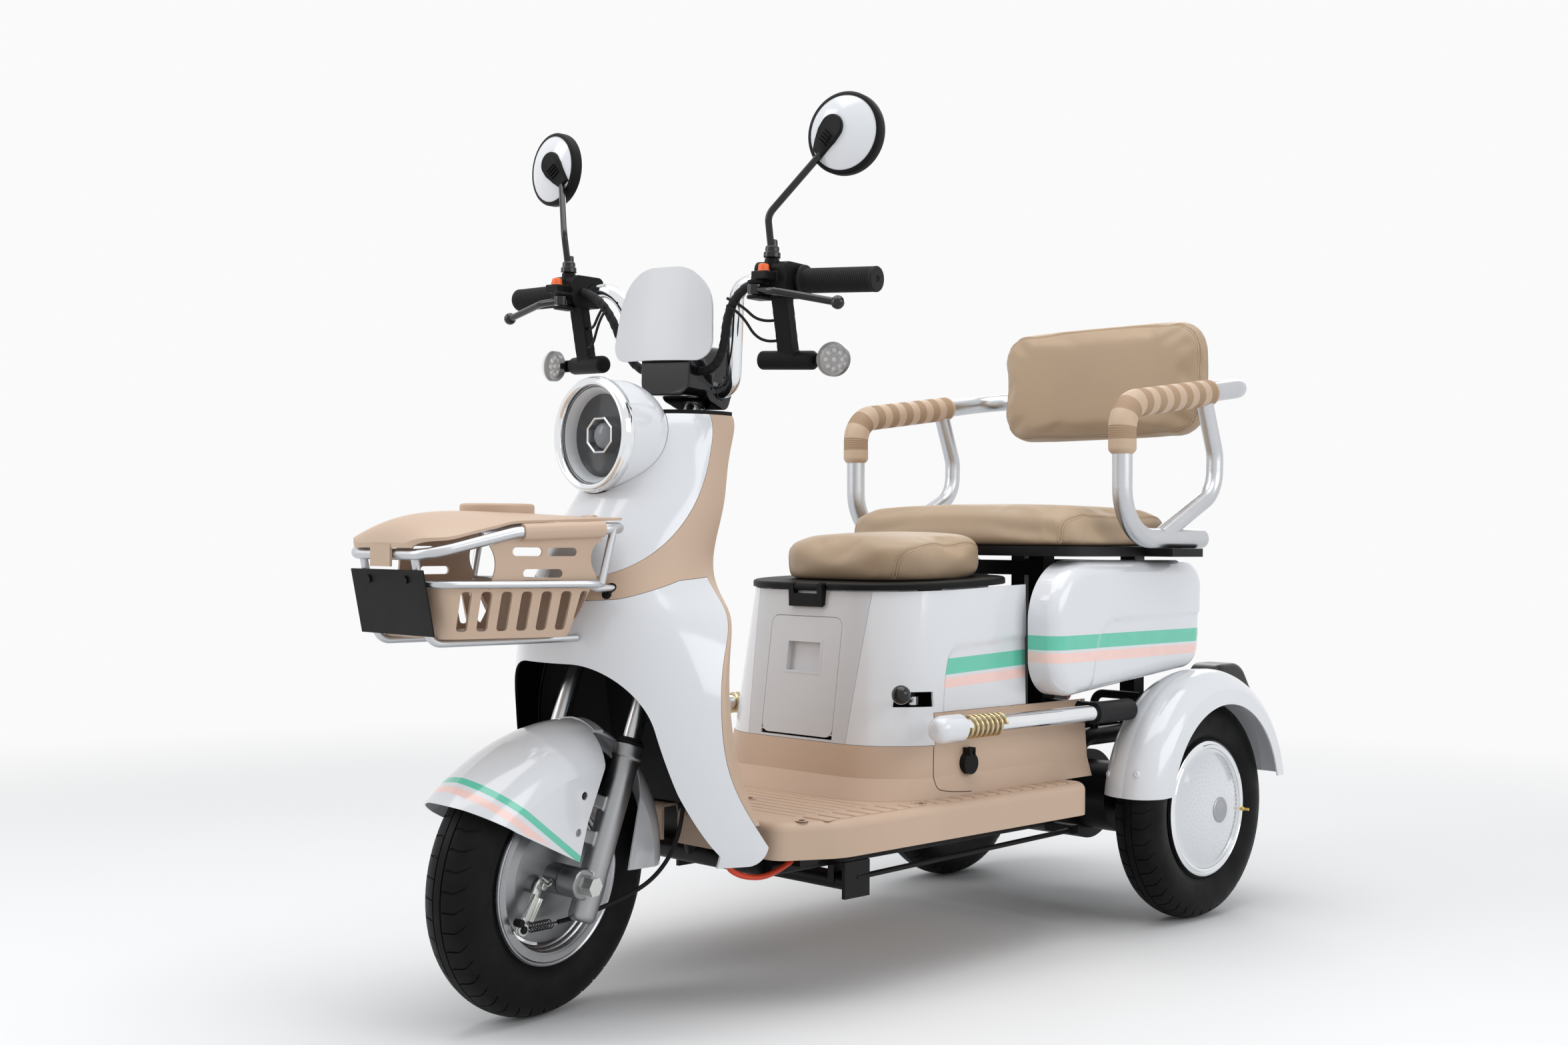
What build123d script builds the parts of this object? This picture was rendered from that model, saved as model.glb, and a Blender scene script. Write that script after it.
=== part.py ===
from build123d import *
import math
import os

# Electric tricycle with one front wheel, a front basket and two seats.
# +X forward, +Y left, +Z up, millimetres; the ground is z = 0.
# Stations along X are counted from the rear axle and moved to the box centre at export.

# Wheels and layout
WHEELBASE = 1167
TRACK_HALF = 263
TYRE_RADIUS = 185
TYRE_WIDTH = 80
RIM_SEAT_RADIUS = 104
RIM_FLANGE_RADIUS = 114
RIM_FLANGE = 3.2
REAR_AXLE_RADIUS = 10
FRONT_AXLE_RADIUS = 8
HUBCAP_DOME = 24

# Steering
RAKE = 20
STEER_REST = 10.5
BAR_REST = 6.5
AXLE_OFFSET = 41
LEG_OFFSET = 14
LEG_SPACING = 66
STANCHION = 26
SLIDER = 37
SLIDER_TOP = 191
SLIDER_BOTTOM = -46
BORE_LOW = 45
FORK_TRAVEL = 45
CROWN_UP = 341
CROWN_HEIGHT = 27
STEM = 28
HEAD_LOW = 394
HEAD_HIGH = 636
HEAD_TUBE = 50
BAR = 22
BAR_UP = 710
FENDER_HALF = 70
FENDER_CROWN = 210

# Body
WALL = 3
SEAM = 0.6
RUN = 0.06
FLOOR_TOP = 250
FLOOR_LIP = 200
FLOOR_HALF = 258
BOX_FRONT = 683
BOX_HALF = 199
BOX_SEAM = 326
BOX_TOP = 551
BOX_CORNER = 110
SEAT_TILT = 2.2
HEADLIGHT_Z = 768
HEADLIGHT_RADIUS = 77.5
DOOR_HALF = 74
DOOR_LOW = 333
DOOR_HIGH = 511

# Frame and rear
TUBE = 30
RAIL_Y = 140
RAIL_Z = 178
REAR_RAIL_Z = 300
POST_Y = 120
POST_FRONT_X = 226
POST_REAR_X = -40
REAR_SEAT_Z = 605
REAR_SEAT_HALF = 252
REAR_SEAT_FRONT = 335
ARM_TUBE = 32
ARM_Y = 286
ARM_LOW = 635
ARM_TOP = 846
BUMPER_TUBE = 26
BUMPER_Y = 250
BUMPER_Z = 357
POD_INNER = 207
POD_OUTER = 262
POD_TOP = 599
REAR_FENDER_Z = 196
BASKET_RING_Z = 641
BASKET_FLOOR_Z = 502.4

# Derived stations
FX = WHEELBASE + 13
SIN_RAKE = math.sin(math.radians(RAKE))
COS_RAKE = math.cos(math.radians(RAKE))
STEER_UP = Vector(-SIN_RAKE, 0, COS_RAKE)
STEER_AHEAD = Vector(COS_RAKE, 0, SIN_RAKE)
STEER_FOOT = Vector(WHEELBASE, 0, TYRE_RADIUS) - STEER_AHEAD * AXLE_OFFSET
STEER_AXIS = Axis(STEER_FOOT, STEER_UP)
FORK = Plane(origin=STEER_FOOT, x_dir=STEER_AHEAD, z_dir=STEER_UP)
LID_TAB_X = FX + 229
TAIL_X = -280
ORIGIN_X = (LID_TAB_X + TAIL_X) / 2

nodes = {}


def put(name, *solids):
    nodes.setdefault(name, []).extend(solids)


def both(solid):
    return [solid, mirror(solid, Plane.XZ)]


def steered(solid):
    return solid.rotate(STEER_AXIS, STEER_REST)


def barred(solid):
    return solid.rotate(STEER_AXIS, BAR_REST)


def rod(points, diameter, bends=0):
    if len(points) == 2:
        path = Line(*points)
    else:
        path = FilletPolyline(*points, radius=bends)
    start = Plane(origin=path @ 0, z_dir=path % 0)
    return sweep(start * Circle(diameter / 2), path=path)


def easy_bends(name, points):
    # The widest arc that each corner's two runs leave room for
    radii = []
    for before, corner, after in zip(points, points[1:], points[2:]):
        run_in = Vector(*corner) - Vector(*before)
        run_out = Vector(*after) - Vector(*corner)
        half_turn = math.radians(run_in.get_angle(run_out)) / 2
        radii.append(0.45 * min(run_in.length, run_out.length) / math.tan(half_turn))
    print(name, "bend radii", [round(radius) for radius in radii])
    return radii


def steered_point(point):
    return (Vector(*point) - STEER_FOOT).rotate(STEER_AXIS, STEER_REST) + STEER_FOOT


def sleeve(points, outside, inside, bends=0):
    return rod(points, outside, bends) - rod(points, inside, bends)


def bar_between(low, high):
    size = [b - a for a, b in zip(low, high)]
    middle = [(a + b) / 2 for a, b in zip(low, high)]
    return Pos(*middle) * Box(*size)


def lathe(*edges):
    face = make_face(Curve() + list(edges)).face()
    if face.normal_at().Z < 0:
        face = -face
    return revolve(face, Axis.Y)


def lathe_points(points):
    return lathe(Polyline(*points, close=True))


def cap_arc(radius, low, rise):
    # Part of a sphere standing on the turning axis
    ball = (radius ** 2 + rise ** 2) / (2 * rise)
    drop = ball - math.sqrt(ball ** 2 - (radius / 2) ** 2)
    return ThreePointArc((radius, low), (radius / 2, low + rise - drop), (0, low + rise))


def along_x(solid):
    return Rot(0, 0, -90) * solid


def pin_y(x, z, radius, y_low, y_high):
    pin = Rot(-90, 0, 0) * Cylinder(radius, y_high - y_low)
    return Pos(x, (y_low + y_high) / 2, z) * pin


def side_region(outline, half=420):
    return extrude(Plane.XZ * outline, amount=half, both=True)


def polygon(points, radius=0):
    face = make_face(Polyline(*points, close=True))
    if radius:
        face = fillet(face.vertices(), radius)
    return face


def rounded_polygon(points, radii):
    return make_face(FilletPolyline(*points, radius=radii, close=True))


def helix_rod(radius, pitch, turns, wire):
    # One round wire wound about X, from quarter-turn arcs joined end to end
    steps = int(turns * 4)
    marks = []
    for i in range(steps * 2 + 1):
        angle = math.pi / 4 * i
        marks.append((pitch * i / 8, radius * math.cos(angle), radius * math.sin(angle)))
    arcs = [ThreePointArc(*marks[2 * i:2 * i + 3]) for i in range(steps)]
    path = Wire([arc.edge() for arc in arcs])
    start = Plane(origin=path @ 0, z_dir=path % 0)
    coil = sweep(start * Circle(wire / 2), path=path)
    gap = pitch * math.cos(math.atan2(pitch, 2 * math.pi * radius)) - wire
    print("spring: least gap between turns", round(gap, 2))
    return coil


def cushion(length, width, height, corner, crown, soft):
    # Crowned top, rounded shoulders, a tucked underside and one sewn channel round the waist
    reach = math.hypot(length, width) / 2
    dome = (reach ** 2 + crown ** 2) / (2 * crown)
    body = extrude(RectangleRounded(length, width, corner), amount=height + crown)
    body &= Pos(0, 0, height + crown - dome) * Sphere(dome)
    body = fillet(body.faces().sort_by(Axis.Z)[-1].edges(), soft)
    body = fillet(body.faces().sort_by(Axis.Z)[0].edges(), soft * 0.6)
    outside = RectangleRounded(length + 20, width + 20, corner + 10)
    inside = RectangleRounded(length - 3, width - 3, corner - 1.5)
    return body - Pos(0, 0, height * 0.42) * extrude(outside - inside, amount=2)


# Tyres and rims
def tyre():
    half = TYRE_WIDTH / 2
    bead = RIM_SEAT_RADIUS
    lip = half - 11.6
    foot = RIM_FLANGE_RADIUS + 2
    belly = TYRE_RADIUS - half + 3
    shoulder = TYRE_RADIUS - 9
    tread = half * 0.72
    inner = half - 21
    left = ThreePointArc((foot, lip), (belly, half), (shoulder, tread))
    crown = ThreePointArc((shoulder, tread), (TYRE_RADIUS, 0), (shoulder, -tread))
    right = ThreePointArc((shoulder, -tread), (belly, -half), (foot, -lip))
    outside = lathe(left, crown, right, Polyline((foot, -lip), (bead, -lip), (bead, lip), (foot, lip)))
    hollow = ThreePointArc((foot + 4, -lip + 6), (TYRE_RADIUS - 16, 0), (foot + 4, lip - 6))
    throat = Polyline((foot + 4, lip - 6), (bead - 2, inner), (bead - 2, -inner), (foot + 4, -lip + 6))
    return outside - lathe(hollow, throat)


def rim(bore, hub, hub_in, hub_out, web_in, web_out, barrel):
    seat = RIM_SEAT_RADIUS - 0.2
    shelf = TYRE_WIDTH / 2 - 11.2
    edge = shelf + RIM_FLANGE
    return lathe_points([
        (bore, hub_in), (hub, hub_in), (hub, web_in), (barrel, web_in),
        (barrel, -edge), (RIM_FLANGE_RADIUS, -edge), (RIM_FLANGE_RADIUS, -shelf),
        (seat, -shelf), (seat, shelf), (RIM_FLANGE_RADIUS, shelf),
        (RIM_FLANGE_RADIUS, edge), (barrel, edge), (barrel, web_out),
        (hub, web_out), (hub, hub_out), (bore, hub_out),
    ])


def hubcap():
    edge = TYRE_WIDTH / 2 - 11.2 + RIM_FLANGE + 0.3
    skirt = RIM_FLANGE_RADIUS - 2
    foot = RIM_FLANGE_RADIUS - 17
    low = edge + 2.2
    radius = (foot ** 2 + HUBCAP_DOME ** 2) / (2 * HUBCAP_DOME)
    sag = radius - math.sqrt(radius ** 2 - (foot / 2) ** 2)
    top = low + HUBCAP_DOME
    dome = ThreePointArc((foot, low), (foot / 2, top - sag), (0, top))
    axis = Line((0, top), (0, top - 2.2))
    under = ThreePointArc((0, top - 2.2), (foot / 2, top - sag - 2.2), (foot, edge))
    brim = Polyline((foot, edge), (skirt, edge), (skirt, low), (foot, low))
    return lathe(dome, axis, under, brim)


rear_rim = rim(REAR_AXLE_RADIUS + RUN, 30, -34, 10, -10, -4, RIM_SEAT_RADIUS - 5)
left_hub = Pos(0, TRACK_HALF, TYRE_RADIUS)
for side, flip in (("left", 1), ("right", -1)):
    for name, solid in (("rear_tyre_", tyre()), ("rear_wheel_", rear_rim), ("rear_wheel_", hubcap())):
        placed = left_hub * solid
        put(name + side, placed if flip > 0 else mirror(placed, Plane.XZ))

# Rear axle with motor and brake plates
axle = pin_y(0, TYRE_RADIUS, 26, -212, 212) + pin_y(0, TYRE_RADIUS, 78, -66, 62)
axle += pin_y(0, TYRE_RADIUS, 60, 62, 132)
axle += pin_y(0, TYRE_RADIUS, REAR_AXLE_RADIUS, -TRACK_HALF - 8, TRACK_HALF + 8)
for side in (-1, 1):
    axle += pin_y(0, TYRE_RADIUS, 74, side * 208.5 - 3.5, side * 208.5 + 3.5)
    pad_top = REAR_RAIL_Z - TUBE / 2 - 0.2
    axle += bar_between((-18, side * RAIL_Y - 12, TYRE_RADIUS), (18, side * RAIL_Y + 12, pad_top))
put("rear_axle", axle)

# Chassis frame
head_tube = FORK * Pos(0, 0, (HEAD_LOW + HEAD_HIGH) / 2) * Cylinder(HEAD_TUBE / 2, HEAD_HIGH - HEAD_LOW)
frame = head_tube
down_tube = [
    (FX - 212, 0, 625),
    (FX - 230, 0, 500),
    (FX - 259, 0, 322),
    (FX - 298, 0, RAIL_Z),
]
frame += rod(down_tube, TUBE, 60)
frame += pin_y(FX - 298, RAIL_Z, TUBE / 2, -RAIL_Y, RAIL_Y)
rail = [
    (FX - 298, RAIL_Y, RAIL_Z),
    (238, RAIL_Y, RAIL_Z),
    (140, RAIL_Y, REAR_RAIL_Z),
    (-185, RAIL_Y, REAR_RAIL_Z),
]
for solid in both(rod(rail, TUBE, 50)):
    frame += solid
for x in (POST_FRONT_X + 84, (POST_FRONT_X + FX) / 2 - 40, FX - 345):
    frame += bar_between((x - 18, -RAIL_Y - 40, RAIL_Z), (x + 18, RAIL_Y + 40, FLOOR_TOP - 4.2))
post_high = REAR_SEAT_Z - 0.2
for x, low in ((POST_FRONT_X, RAIL_Z), (POST_REAR_X, REAR_RAIL_Z)):
    for side in (-1, 1):
        y = side * POST_Y
        frame += bar_between((x - 15, y - 15, low), (x + 15, y + 15, post_high))
    for z in (REAR_RAIL_Z, post_high - 20):
        frame += bar_between((x - 12, -POST_Y, z - 12), (x + 12, POST_Y, z + 12))
frame += pin_y(POST_FRONT_X, RAIL_Z, TUBE / 2, -RAIL_Y, RAIL_Y)

# Bumper holders on the frame
bumper_hold = pin_y(POST_FRONT_X, BUMPER_Z, 14, POST_Y, BUMPER_Y)
bumper_grip = [(POST_FRONT_X + 38, BUMPER_Y, BUMPER_Z), (POST_FRONT_X - 62, BUMPER_Y, BUMPER_Z)]
bumper_hold += rod(bumper_grip, BUMPER_TUBE + 9)
bumper_hold -= rod(bumper_grip, BUMPER_TUBE + 0.4)
for solid in both(bumper_hold):
    frame += solid

# Fender stays and lamp brackets on the frame
for x, z in ((102, 373), (-131, 350)):
    stay = [(x, RAIL_Y, REAR_RAIL_Z), (x, RAIL_Y, z), (x, TRACK_HALF - 31.4, z)]
    for solid in both(rod(stay, 14, 18)):
        frame += solid
lamp_bracket = bar_between((-195, RAIL_Y - 10, REAR_RAIL_Z - 8), (-155, 171.7, REAR_RAIL_Z + 45))
for solid in both(lamp_bracket):
    frame += solid

# Basket bracket, ahead of the head tube and above the fork crown
BRACKET_Y = 84
BRACKET_Z = 562
BRACKET_X = FX - 86
frame += rod([(FX - 192, 0, BRACKET_Z), (BRACKET_X - 6, 0, BRACKET_Z)], 22)
bracket_low = (BRACKET_X - 12, -BRACKET_Y - 9, BRACKET_Z - 9)
frame += bar_between(bracket_low, (BRACKET_X, BRACKET_Y + 9, BRACKET_Z + 9))

# Under-floor cross tube with its end plates and the long brake rod
CROSS_X = FX - 445
frame += pin_y(CROSS_X, RAIL_Z - 38, 13, -RAIL_Y - 36, RAIL_Y + 36)
for side in (-1, 1):
    y = side * (RAIL_Y + 36)
    frame += bar_between((CROSS_X - 26, y - 3, RAIL_Z - 58), (CROSS_X + 26, y + 3, RAIL_Z - 6))
    y = side * RAIL_Y
    frame += bar_between((CROSS_X - 14, y - 6, RAIL_Z - 40), (CROSS_X + 14, y + 6, RAIL_Z))
brake_rod = rod([(CROSS_X, RAIL_Y + 36, RAIL_Z - 30), (232, RAIL_Y + 50, RAIL_Z - 16)], 8)
brake_rod += bar_between((226, RAIL_Y, RAIL_Z - 22), (240, RAIL_Y + 56, RAIL_Z - 8))
frame += brake_rod
head_bore = Pos(0, 0, (HEAD_LOW + HEAD_HIGH) / 2) * Cylinder(STEM / 2 + RUN, HEAD_HIGH - HEAD_LOW + 60)
relief = Pos(0, 0, (HEAD_LOW + HEAD_HIGH) / 2) * Cylinder(STEM / 2 + 4, HEAD_HIGH - HEAD_LOW - 44)
frame -= FORK * (head_bore + relief)
put("chassis_frame", frame)

# Front column: one shell, parted into the lower shield, the collar and the upper shield.
# Each level: height, nose, rear edge and half width, then the bulge towards the rider.
COLUMN = [
    (196, -66, -250, 210, 66),
    (250, -46, -217, 212, 92),
    (320, -34, -178, 205, 111),
    (400, -26, -168, 198, 106),
    (470, -24, -182, 186, 92),
    (530, -28, -211, 156, 69),
    (580, -40, -222, 108, 60),
    (640, -72, -248, 92, 46),
    (700, -112, -266, 90, 38),
    (760, -148, -280, 86, 34),
    (800, -174, -286, 81, 32),
]


def column_section(level, inset):
    z, nose, edge, half, bulge = level
    corner = FX + edge
    side = half - inset
    front = ThreePointArc((corner, -side), (FX + nose - inset, 0), (corner, side))
    back = ThreePointArc((corner, side), (corner - bulge + inset, 0), (corner, -side))
    return Pos(0, 0, z) * make_face(Curve() + [front, back])


column_shell = loft([column_section(level, 0) for level in COLUMN])
column_shell -= loft([column_section(level, WALL) for level in COLUMN])


def lower_region(step):
    # Everything ahead of the shield's curved rear edge, with its round toe, and under the collar
    heel = (FX - 234 + step, 220)
    toe = (FX - 204 + step, 196)
    rear = [(FX + edge + 6 + step, z) for z, _, edge, _, _ in COLUMN[1:6]]
    edge = Spline(heel, *rear, (FX - 208 + step, 576 - step))
    rest = Polyline(
        edge @ 1, (FX - 150, 572 - step), (FX - 70, 548 - step), (FX + 80, 532 - step),
        (FX + 80, 150), (toe[0], 150), toe,
    )
    round_toe = ThreePointArc(toe, (FX - 226 + step, 203), heel)
    return side_region(make_face(Curve() + [edge, rest, round_toe]))


def upper_region(step):
    # The upper cover, from the column's rear top edge round to the nose
    edge = Spline(
        (FX - 238 + step, 830), (FX - 230 + step, 742), (FX - 190 + step, 672 + step),
        (FX - 100, 596 + step), (FX + 80, 566 + step),
    )
    rest = Polyline(edge @ 1, (FX + 80, 830), edge @ 0)
    return side_region(make_face(Curve() + [edge, rest]))


# Wheel arch, open to the front and below
arch = rounded_polygon(
    [(-205, 150), (-166, 296), (-132, 462), (132, 462), (166, 296), (205, 150)],
    [0, 60, 105, 105, 60, 0],
)
arch_cut = extrude(Plane((FX - 170, 0, 0), x_dir=(0, 1, 0), z_dir=(1, 0, 0)) * arch, amount=300)
lower_shield = (column_shell & lower_region(0)) - arch_cut
put("lower_leg_shield", lower_shield)

headlight_at = Pos(FX - 110, 0, HEADLIGHT_Z)


def headlight_dome(extra, depth):
    r = HEADLIGHT_RADIUS + extra
    back = -105 - extra
    turn = back + r
    curve = ThreePointArc((0, back), (r * math.sqrt(0.5), turn - r * math.sqrt(0.5)), (r, turn))
    return lathe(curve, Polyline((r, turn), (r, depth), (0, depth), (0, back)))


bezel_room = HEADLIGHT_RADIUS + 3
light_hole = headlight_dome(0.5, 60)
light_hole += lathe_points([(0, -0.4), (bezel_room, -0.4), (bezel_room, 60), (0, 60)])
upper_shield = (column_shell & upper_region(0)) - headlight_at * along_x(light_hole)
put("upper_shield", upper_shield.solids().sort_by(SortBy.VOLUME)[-1])

inner_shield = column_shell - lower_region(-SEAM) - upper_region(-SEAM) - arch_cut
inner_shield &= bar_between((FX - 400, -400, FLOOR_TOP + 0.3), (FX + 100, 400, 900))
for side in (-1, 1):
    stub_hole = rod([(FX - 100, side * BRACKET_Y, BRACKET_Z), (FX + 20, side * BRACKET_Y, BRACKET_Z)], 14)
    inner_shield -= stub_hole
put("inner_shield", inner_shield.solids().sort_by(SortBy.VOLUME)[-1])

cap_level = COLUMN[-1]
column_cap = extrude(Pos(0, 0, SEAM) * column_section(cap_level, 1), amount=5)
column_cap -= FORK * Pos(0, 0, HEAD_HIGH + 60) * Cylinder(STEM / 2 + 8, 160)
column_cap -= headlight_at * along_x(headlight_dome(0.5, 60))
put("column_liners", column_cap)

# Wheel-arch liner, a bent sheet just ahead of the down tube
liner = [
    (FX - 211.6, 505), (FX - 213.4, 490), (FX - 241.4, 318), (FX - 257, 256),
    (FX - 255, 255.4), (FX - 239.4, 317.6), (FX - 211.4, 489.6), (FX - 209.6, 505),
]
crown_reach = math.hypot(22, LEG_SPACING + 20) + 4
crown_room = Pos(0, 0, CROWN_UP + 60) * Cylinder(crown_reach, 136)
put("column_liners", side_region(polygon(liner), 116) - FORK * crown_room)

# Headlight
shell_cut = headlight_dome(-2.5, 1)
put("headlight_shell", headlight_at * along_x(headlight_dome(0, 0) - shell_cut))
R = HEADLIGHT_RADIUS
bezel = lathe_points([
    (R - 6, 0.3), (R + 1.5, 0.3), (R + 2, 9), (R - 1.5, 16),
    (R - 7.5, 17), (R - 11.5, 11), (R - 11.5, 6), (R - 6, 6),
])
put("headlight_bezel", headlight_at * along_x(bezel))
lens = lathe(
    cap_arc(R - 12, 8, 4.5),
    Line((0, 12.5), (0, 10.7)),
    cap_arc(R - 12, 6.2, 4.5),
    Line((R - 12, 6.2), (R - 12, 8)),
)
put("headlight_bezel", headlight_at * along_x(lens))
module = lathe_points([
    (0, -28), (R - 30, -28), (R - 12, -4), (R - 12, 4), (R - 17, 4), (R - 34, -22), (0, -22),
])
octagon = extrude(Plane.XZ * RegularPolygon(26, 8), amount=-14)
eye = lathe(cap_arc(15, 2, 4.5), Polyline((0, 6.5), (0, -4), (15, -4), (15, 2)))
module += Pos(0, -23, 0) * octagon
module += Pos(0, -9.4, 0) * eye
put("headlight_module", headlight_at * Pos(1.6, 0, 0) * along_x(module))

# Basket: ring, middle rail, two loops under the tub, rear posts, stubs and hinge pins
RING = 14
RAIL = 10
RING_REAR = FX - 52
RING_FRONT = FX + 218
ring_left = [
    (RING_REAR, 150, BASKET_RING_Z),
    (FX + 110, 119, BASKET_RING_Z - 7),
    (RING_FRONT, 88, BASKET_RING_Z - 35),
]
ring = ring_left + [(x, -y, z) for x, y, z in reversed(ring_left)]


def loop(points, diameter, bends):
    path = FilletPolyline(*points, radius=bends, close=True)
    start = Plane(origin=path @ 0, z_dir=path % 0)
    return sweep(start * Circle(diameter / 2), path=path)


MID_REAR = FX - 24
MID_FRONT = FX + 207
MID_Z = 570
mid = [(MID_REAR, 146, MID_Z), (MID_FRONT, 92, MID_Z), (MID_FRONT, -92, MID_Z), (MID_REAR, -146, MID_Z)]
basket = loop(ring, RING, [40, 60, 38, 38, 60, 40]) + loop(mid, RAIL, [32, 32, 32, 32])
LOOP_Y = 57
LOOP_Z = BASKET_FLOOR_Z - 5.4
under = [
    (RING_FRONT - 1, LOOP_Y, BASKET_RING_Z - 36),
    (RING_FRONT - 24, LOOP_Y, LOOP_Z),
    (FX - 31.6, LOOP_Y, LOOP_Z),
]
rear_post = [(RING_REAR + 30, 143, BASKET_RING_Z - 1), (MID_REAR + 18, 139, MID_Z)]
stub = [
    (BRACKET_X + 0.3, BRACKET_Y, BRACKET_Z),
    (MID_REAR - 20, BRACKET_Y, BRACKET_Z),
    (MID_REAR + 4, BRACKET_Y, MID_Z),
]
HINGE_X = RING_REAR - 9
HINGE_Z = BASKET_RING_Z + 11
for solid in both(rod(under, RAIL, 20)):
    basket += solid
for solid in both(rod(rear_post, RAIL)):
    basket += solid
for solid in both(rod(stub, RAIL, 20)):
    basket += solid
for side in (-1, 1):
    lug = bar_between((HINGE_X - 5, side * 38 - 2, BASKET_RING_Z), (RING_REAR, side * 38 + 2, HINGE_Z + 5))
    basket += lug + pin_y(HINGE_X, HINGE_Z, 3, min(side * 38, side * 58), max(side * 38, side * 58))
put("basket_frame", basket)


def tub_outline(front, rear, front_half, rear_half, radius):
    return polygon([(rear, -rear_half), (front, -front_half), (front, front_half), (rear, rear_half)], radius)


TUB_FRONT = FX + 184
TUB_REAR = FX + 6
TUB_FRONT_HALF = 72
TUB_REAR_HALF = 108


def tub_body(inset, floor):
    low = tub_outline(
        TUB_FRONT - inset, TUB_REAR + inset, TUB_FRONT_HALF - inset, TUB_REAR_HALF - inset, 26
    )
    high = tub_outline(FX + 200 - inset, FX - 15 + inset, 82 - inset, 136 - inset, 26)
    return loft([Pos(0, 0, floor) * low, Pos(0, 0, MID_Z) * high])


tub = tub_body(0, BASKET_FLOOR_Z) - tub_body(WALL, BASKET_FLOOR_Z + WALL)
slot_z = (BASKET_FLOOR_Z + MID_Z) / 2
tub_slot = RectangleRounded(14, 49, 4.5)
for i in range(7):
    along = 2 + 25.8 * i
    narrowing = (TUB_REAR_HALF - TUB_FRONT_HALF) * along / (TUB_FRONT - TUB_REAR)
    slot_start = (TUB_REAR + along, TUB_REAR_HALF - narrowing - 14, slot_z)
    side_slot = Plane(slot_start, x_dir=(1, 0, 0), z_dir=(0, 1, 0)) * tub_slot
    for solid in both(extrude(side_slot, amount=82)):
        tub -= solid
for i in range(4):
    front_slot = Plane((FX + 150, 30 * (i - 1.5), slot_z), x_dir=(0, 1, 0), z_dir=(1, 0, 0)) * tub_slot
    tub -= extrude(front_slot, amount=80)

# Side walls of the basket, waisted at both ends, with three slots
wall_rear = Vector(FX - 6, 134.5, MID_Z)
wall_turn = math.degrees(math.atan2(-22, 106))
wall_at = Pos(*wall_rear) * Rot(0, 0, wall_turn)
wall_face = make_face(Curve() + [
    Polyline((148, 4), (150, -4), (2, -4), (5, 12)),
    ThreePointArc((5, 12), (12.5, 32), (-4, 58)),
    Polyline((-4, 58), (118, 57), (150, 47)),
    ThreePointArc((150, 47), (142.5, 28), (148, 4)),
])
for x, z, length in ((99.8, 40, 40), (52.5, 40, 40), (78.6, 13.2, 53.5)):
    wall_face -= Pos(x, z) * SlotOverall(length, 10.6)
wall = wall_at * extrude(Plane.XZ * wall_face, amount=WALL / 2, both=True)
wall += wall_at * Pos(75, -4.5, -3) * Box(146, 12, 6)
ring_a = Vector(*ring[0])
ring_b = Vector(*ring[1])
grip_a = ring_a + (ring_b - ring_a) * 0.28
grip_b = ring_a + (ring_b - ring_a) * 0.955
wall += sleeve([grip_a, grip_b], RING + 6.4, RING + 0.5)
wall += wall_at * Pos(53, -0.5, 58) * Box(110, 5, 12) - rod([grip_a, grip_b], RING + 0.5)
for solid in both(wall):
    tub += solid
put("basket_tub", tub - basket)

# Lid: a dome lofted from arcs across it; the edge follows the ring and the nose is round
LID_REAR = RING_REAR - 5
LID_FRONT = FX + 228
LID_WALL = 3.2
LID_STEPS = 20
LID_RISE = 20
LID_NOSE = 125


def ring_height(x):
    start, end = ring_left[:2] if x < ring_left[1][0] else ring_left[1:]
    return start[2] + (x - start[0]) * (end[2] - start[2]) / (end[0] - start[0])


def lid_section(step, inset):
    share = step / LID_STEPS
    x = LID_REAR + (LID_FRONT - LID_REAR) * share
    half = 150 - 54 * share
    edge = ring_height(x) + 13
    top = BASKET_RING_Z + LID_RISE
    tip = top - LID_RISE - 20.6
    nose = (x - LID_FRONT + LID_NOSE) / LID_NOSE
    if nose > 0:
        crown = tip + (top - tip) * math.sqrt(1 - nose ** 2.6)
    else:
        crown = top - 6.4 * (1 - math.cos(math.pi / 2 * (nose * LID_NOSE / (LID_FRONT - LID_NOSE - LID_REAR))))
    arc = ThreePointArc((-half, edge - inset), (0, crown - inset), (half, edge - inset))
    low = BASKET_RING_Z - 60
    rest = Polyline((half, edge - inset), (half, low), (-half, low), (-half, edge - inset))
    section = make_face(Curve() + [arc, rest])
    return Plane((x - inset * share ** 3, 0, 0), x_dir=(0, 1, 0), z_dir=(1, 0, 0)) * section


lid_plan = make_face(FilletPolyline(
    (LID_REAR, -146), (LID_FRONT, -92), (LID_FRONT, 92), (LID_REAR, 146), radius=[34, 54, 54, 34], close=True,
))
lid = loft([lid_section(step, 0) for step in range(LID_STEPS + 1)])
lid -= loft([lid_section(step, LID_WALL) for step in range(LID_STEPS + 1)])
lid &= extrude(Pos(0, 0, BASKET_RING_Z - 27.2) * lid_plan, amount=100)
lid_pad = Pos(FX + 55, 0, BASKET_RING_Z + 23.6) * Cylinder(48, 13)
lid += fillet(lid_pad.edges().group_by(Axis.Z)[-1], 4)
lid += bar_between((RING_FRONT + 7.4, -22, BASKET_RING_Z - 50), (LID_TAB_X, 22, BASKET_RING_Z - 23))
for side in (-1, 1):
    span = sorted((side * 40.6, side * 56.5))
    knuckle = pin_y(HINGE_X, HINGE_Z, 6, *span)
    knuckle += bar_between((HINGE_X, span[0], HINGE_Z - 3), (RING_REAR + 6, span[1], HINGE_Z + 1.5))
    y = side * 38
    relief = bar_between((HINGE_X - 8, y - 2.6, HINGE_Z - 10), (RING_REAR + 3.4, y + 2.6, HINGE_Z + 8))
    lid = lid - relief + knuckle
    lid -= pin_y(HINGE_X, HINGE_Z, 3 + RUN, min(side * 37, side * 60), max(side * 37, side * 60))
put("basket_lid", lid)

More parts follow.
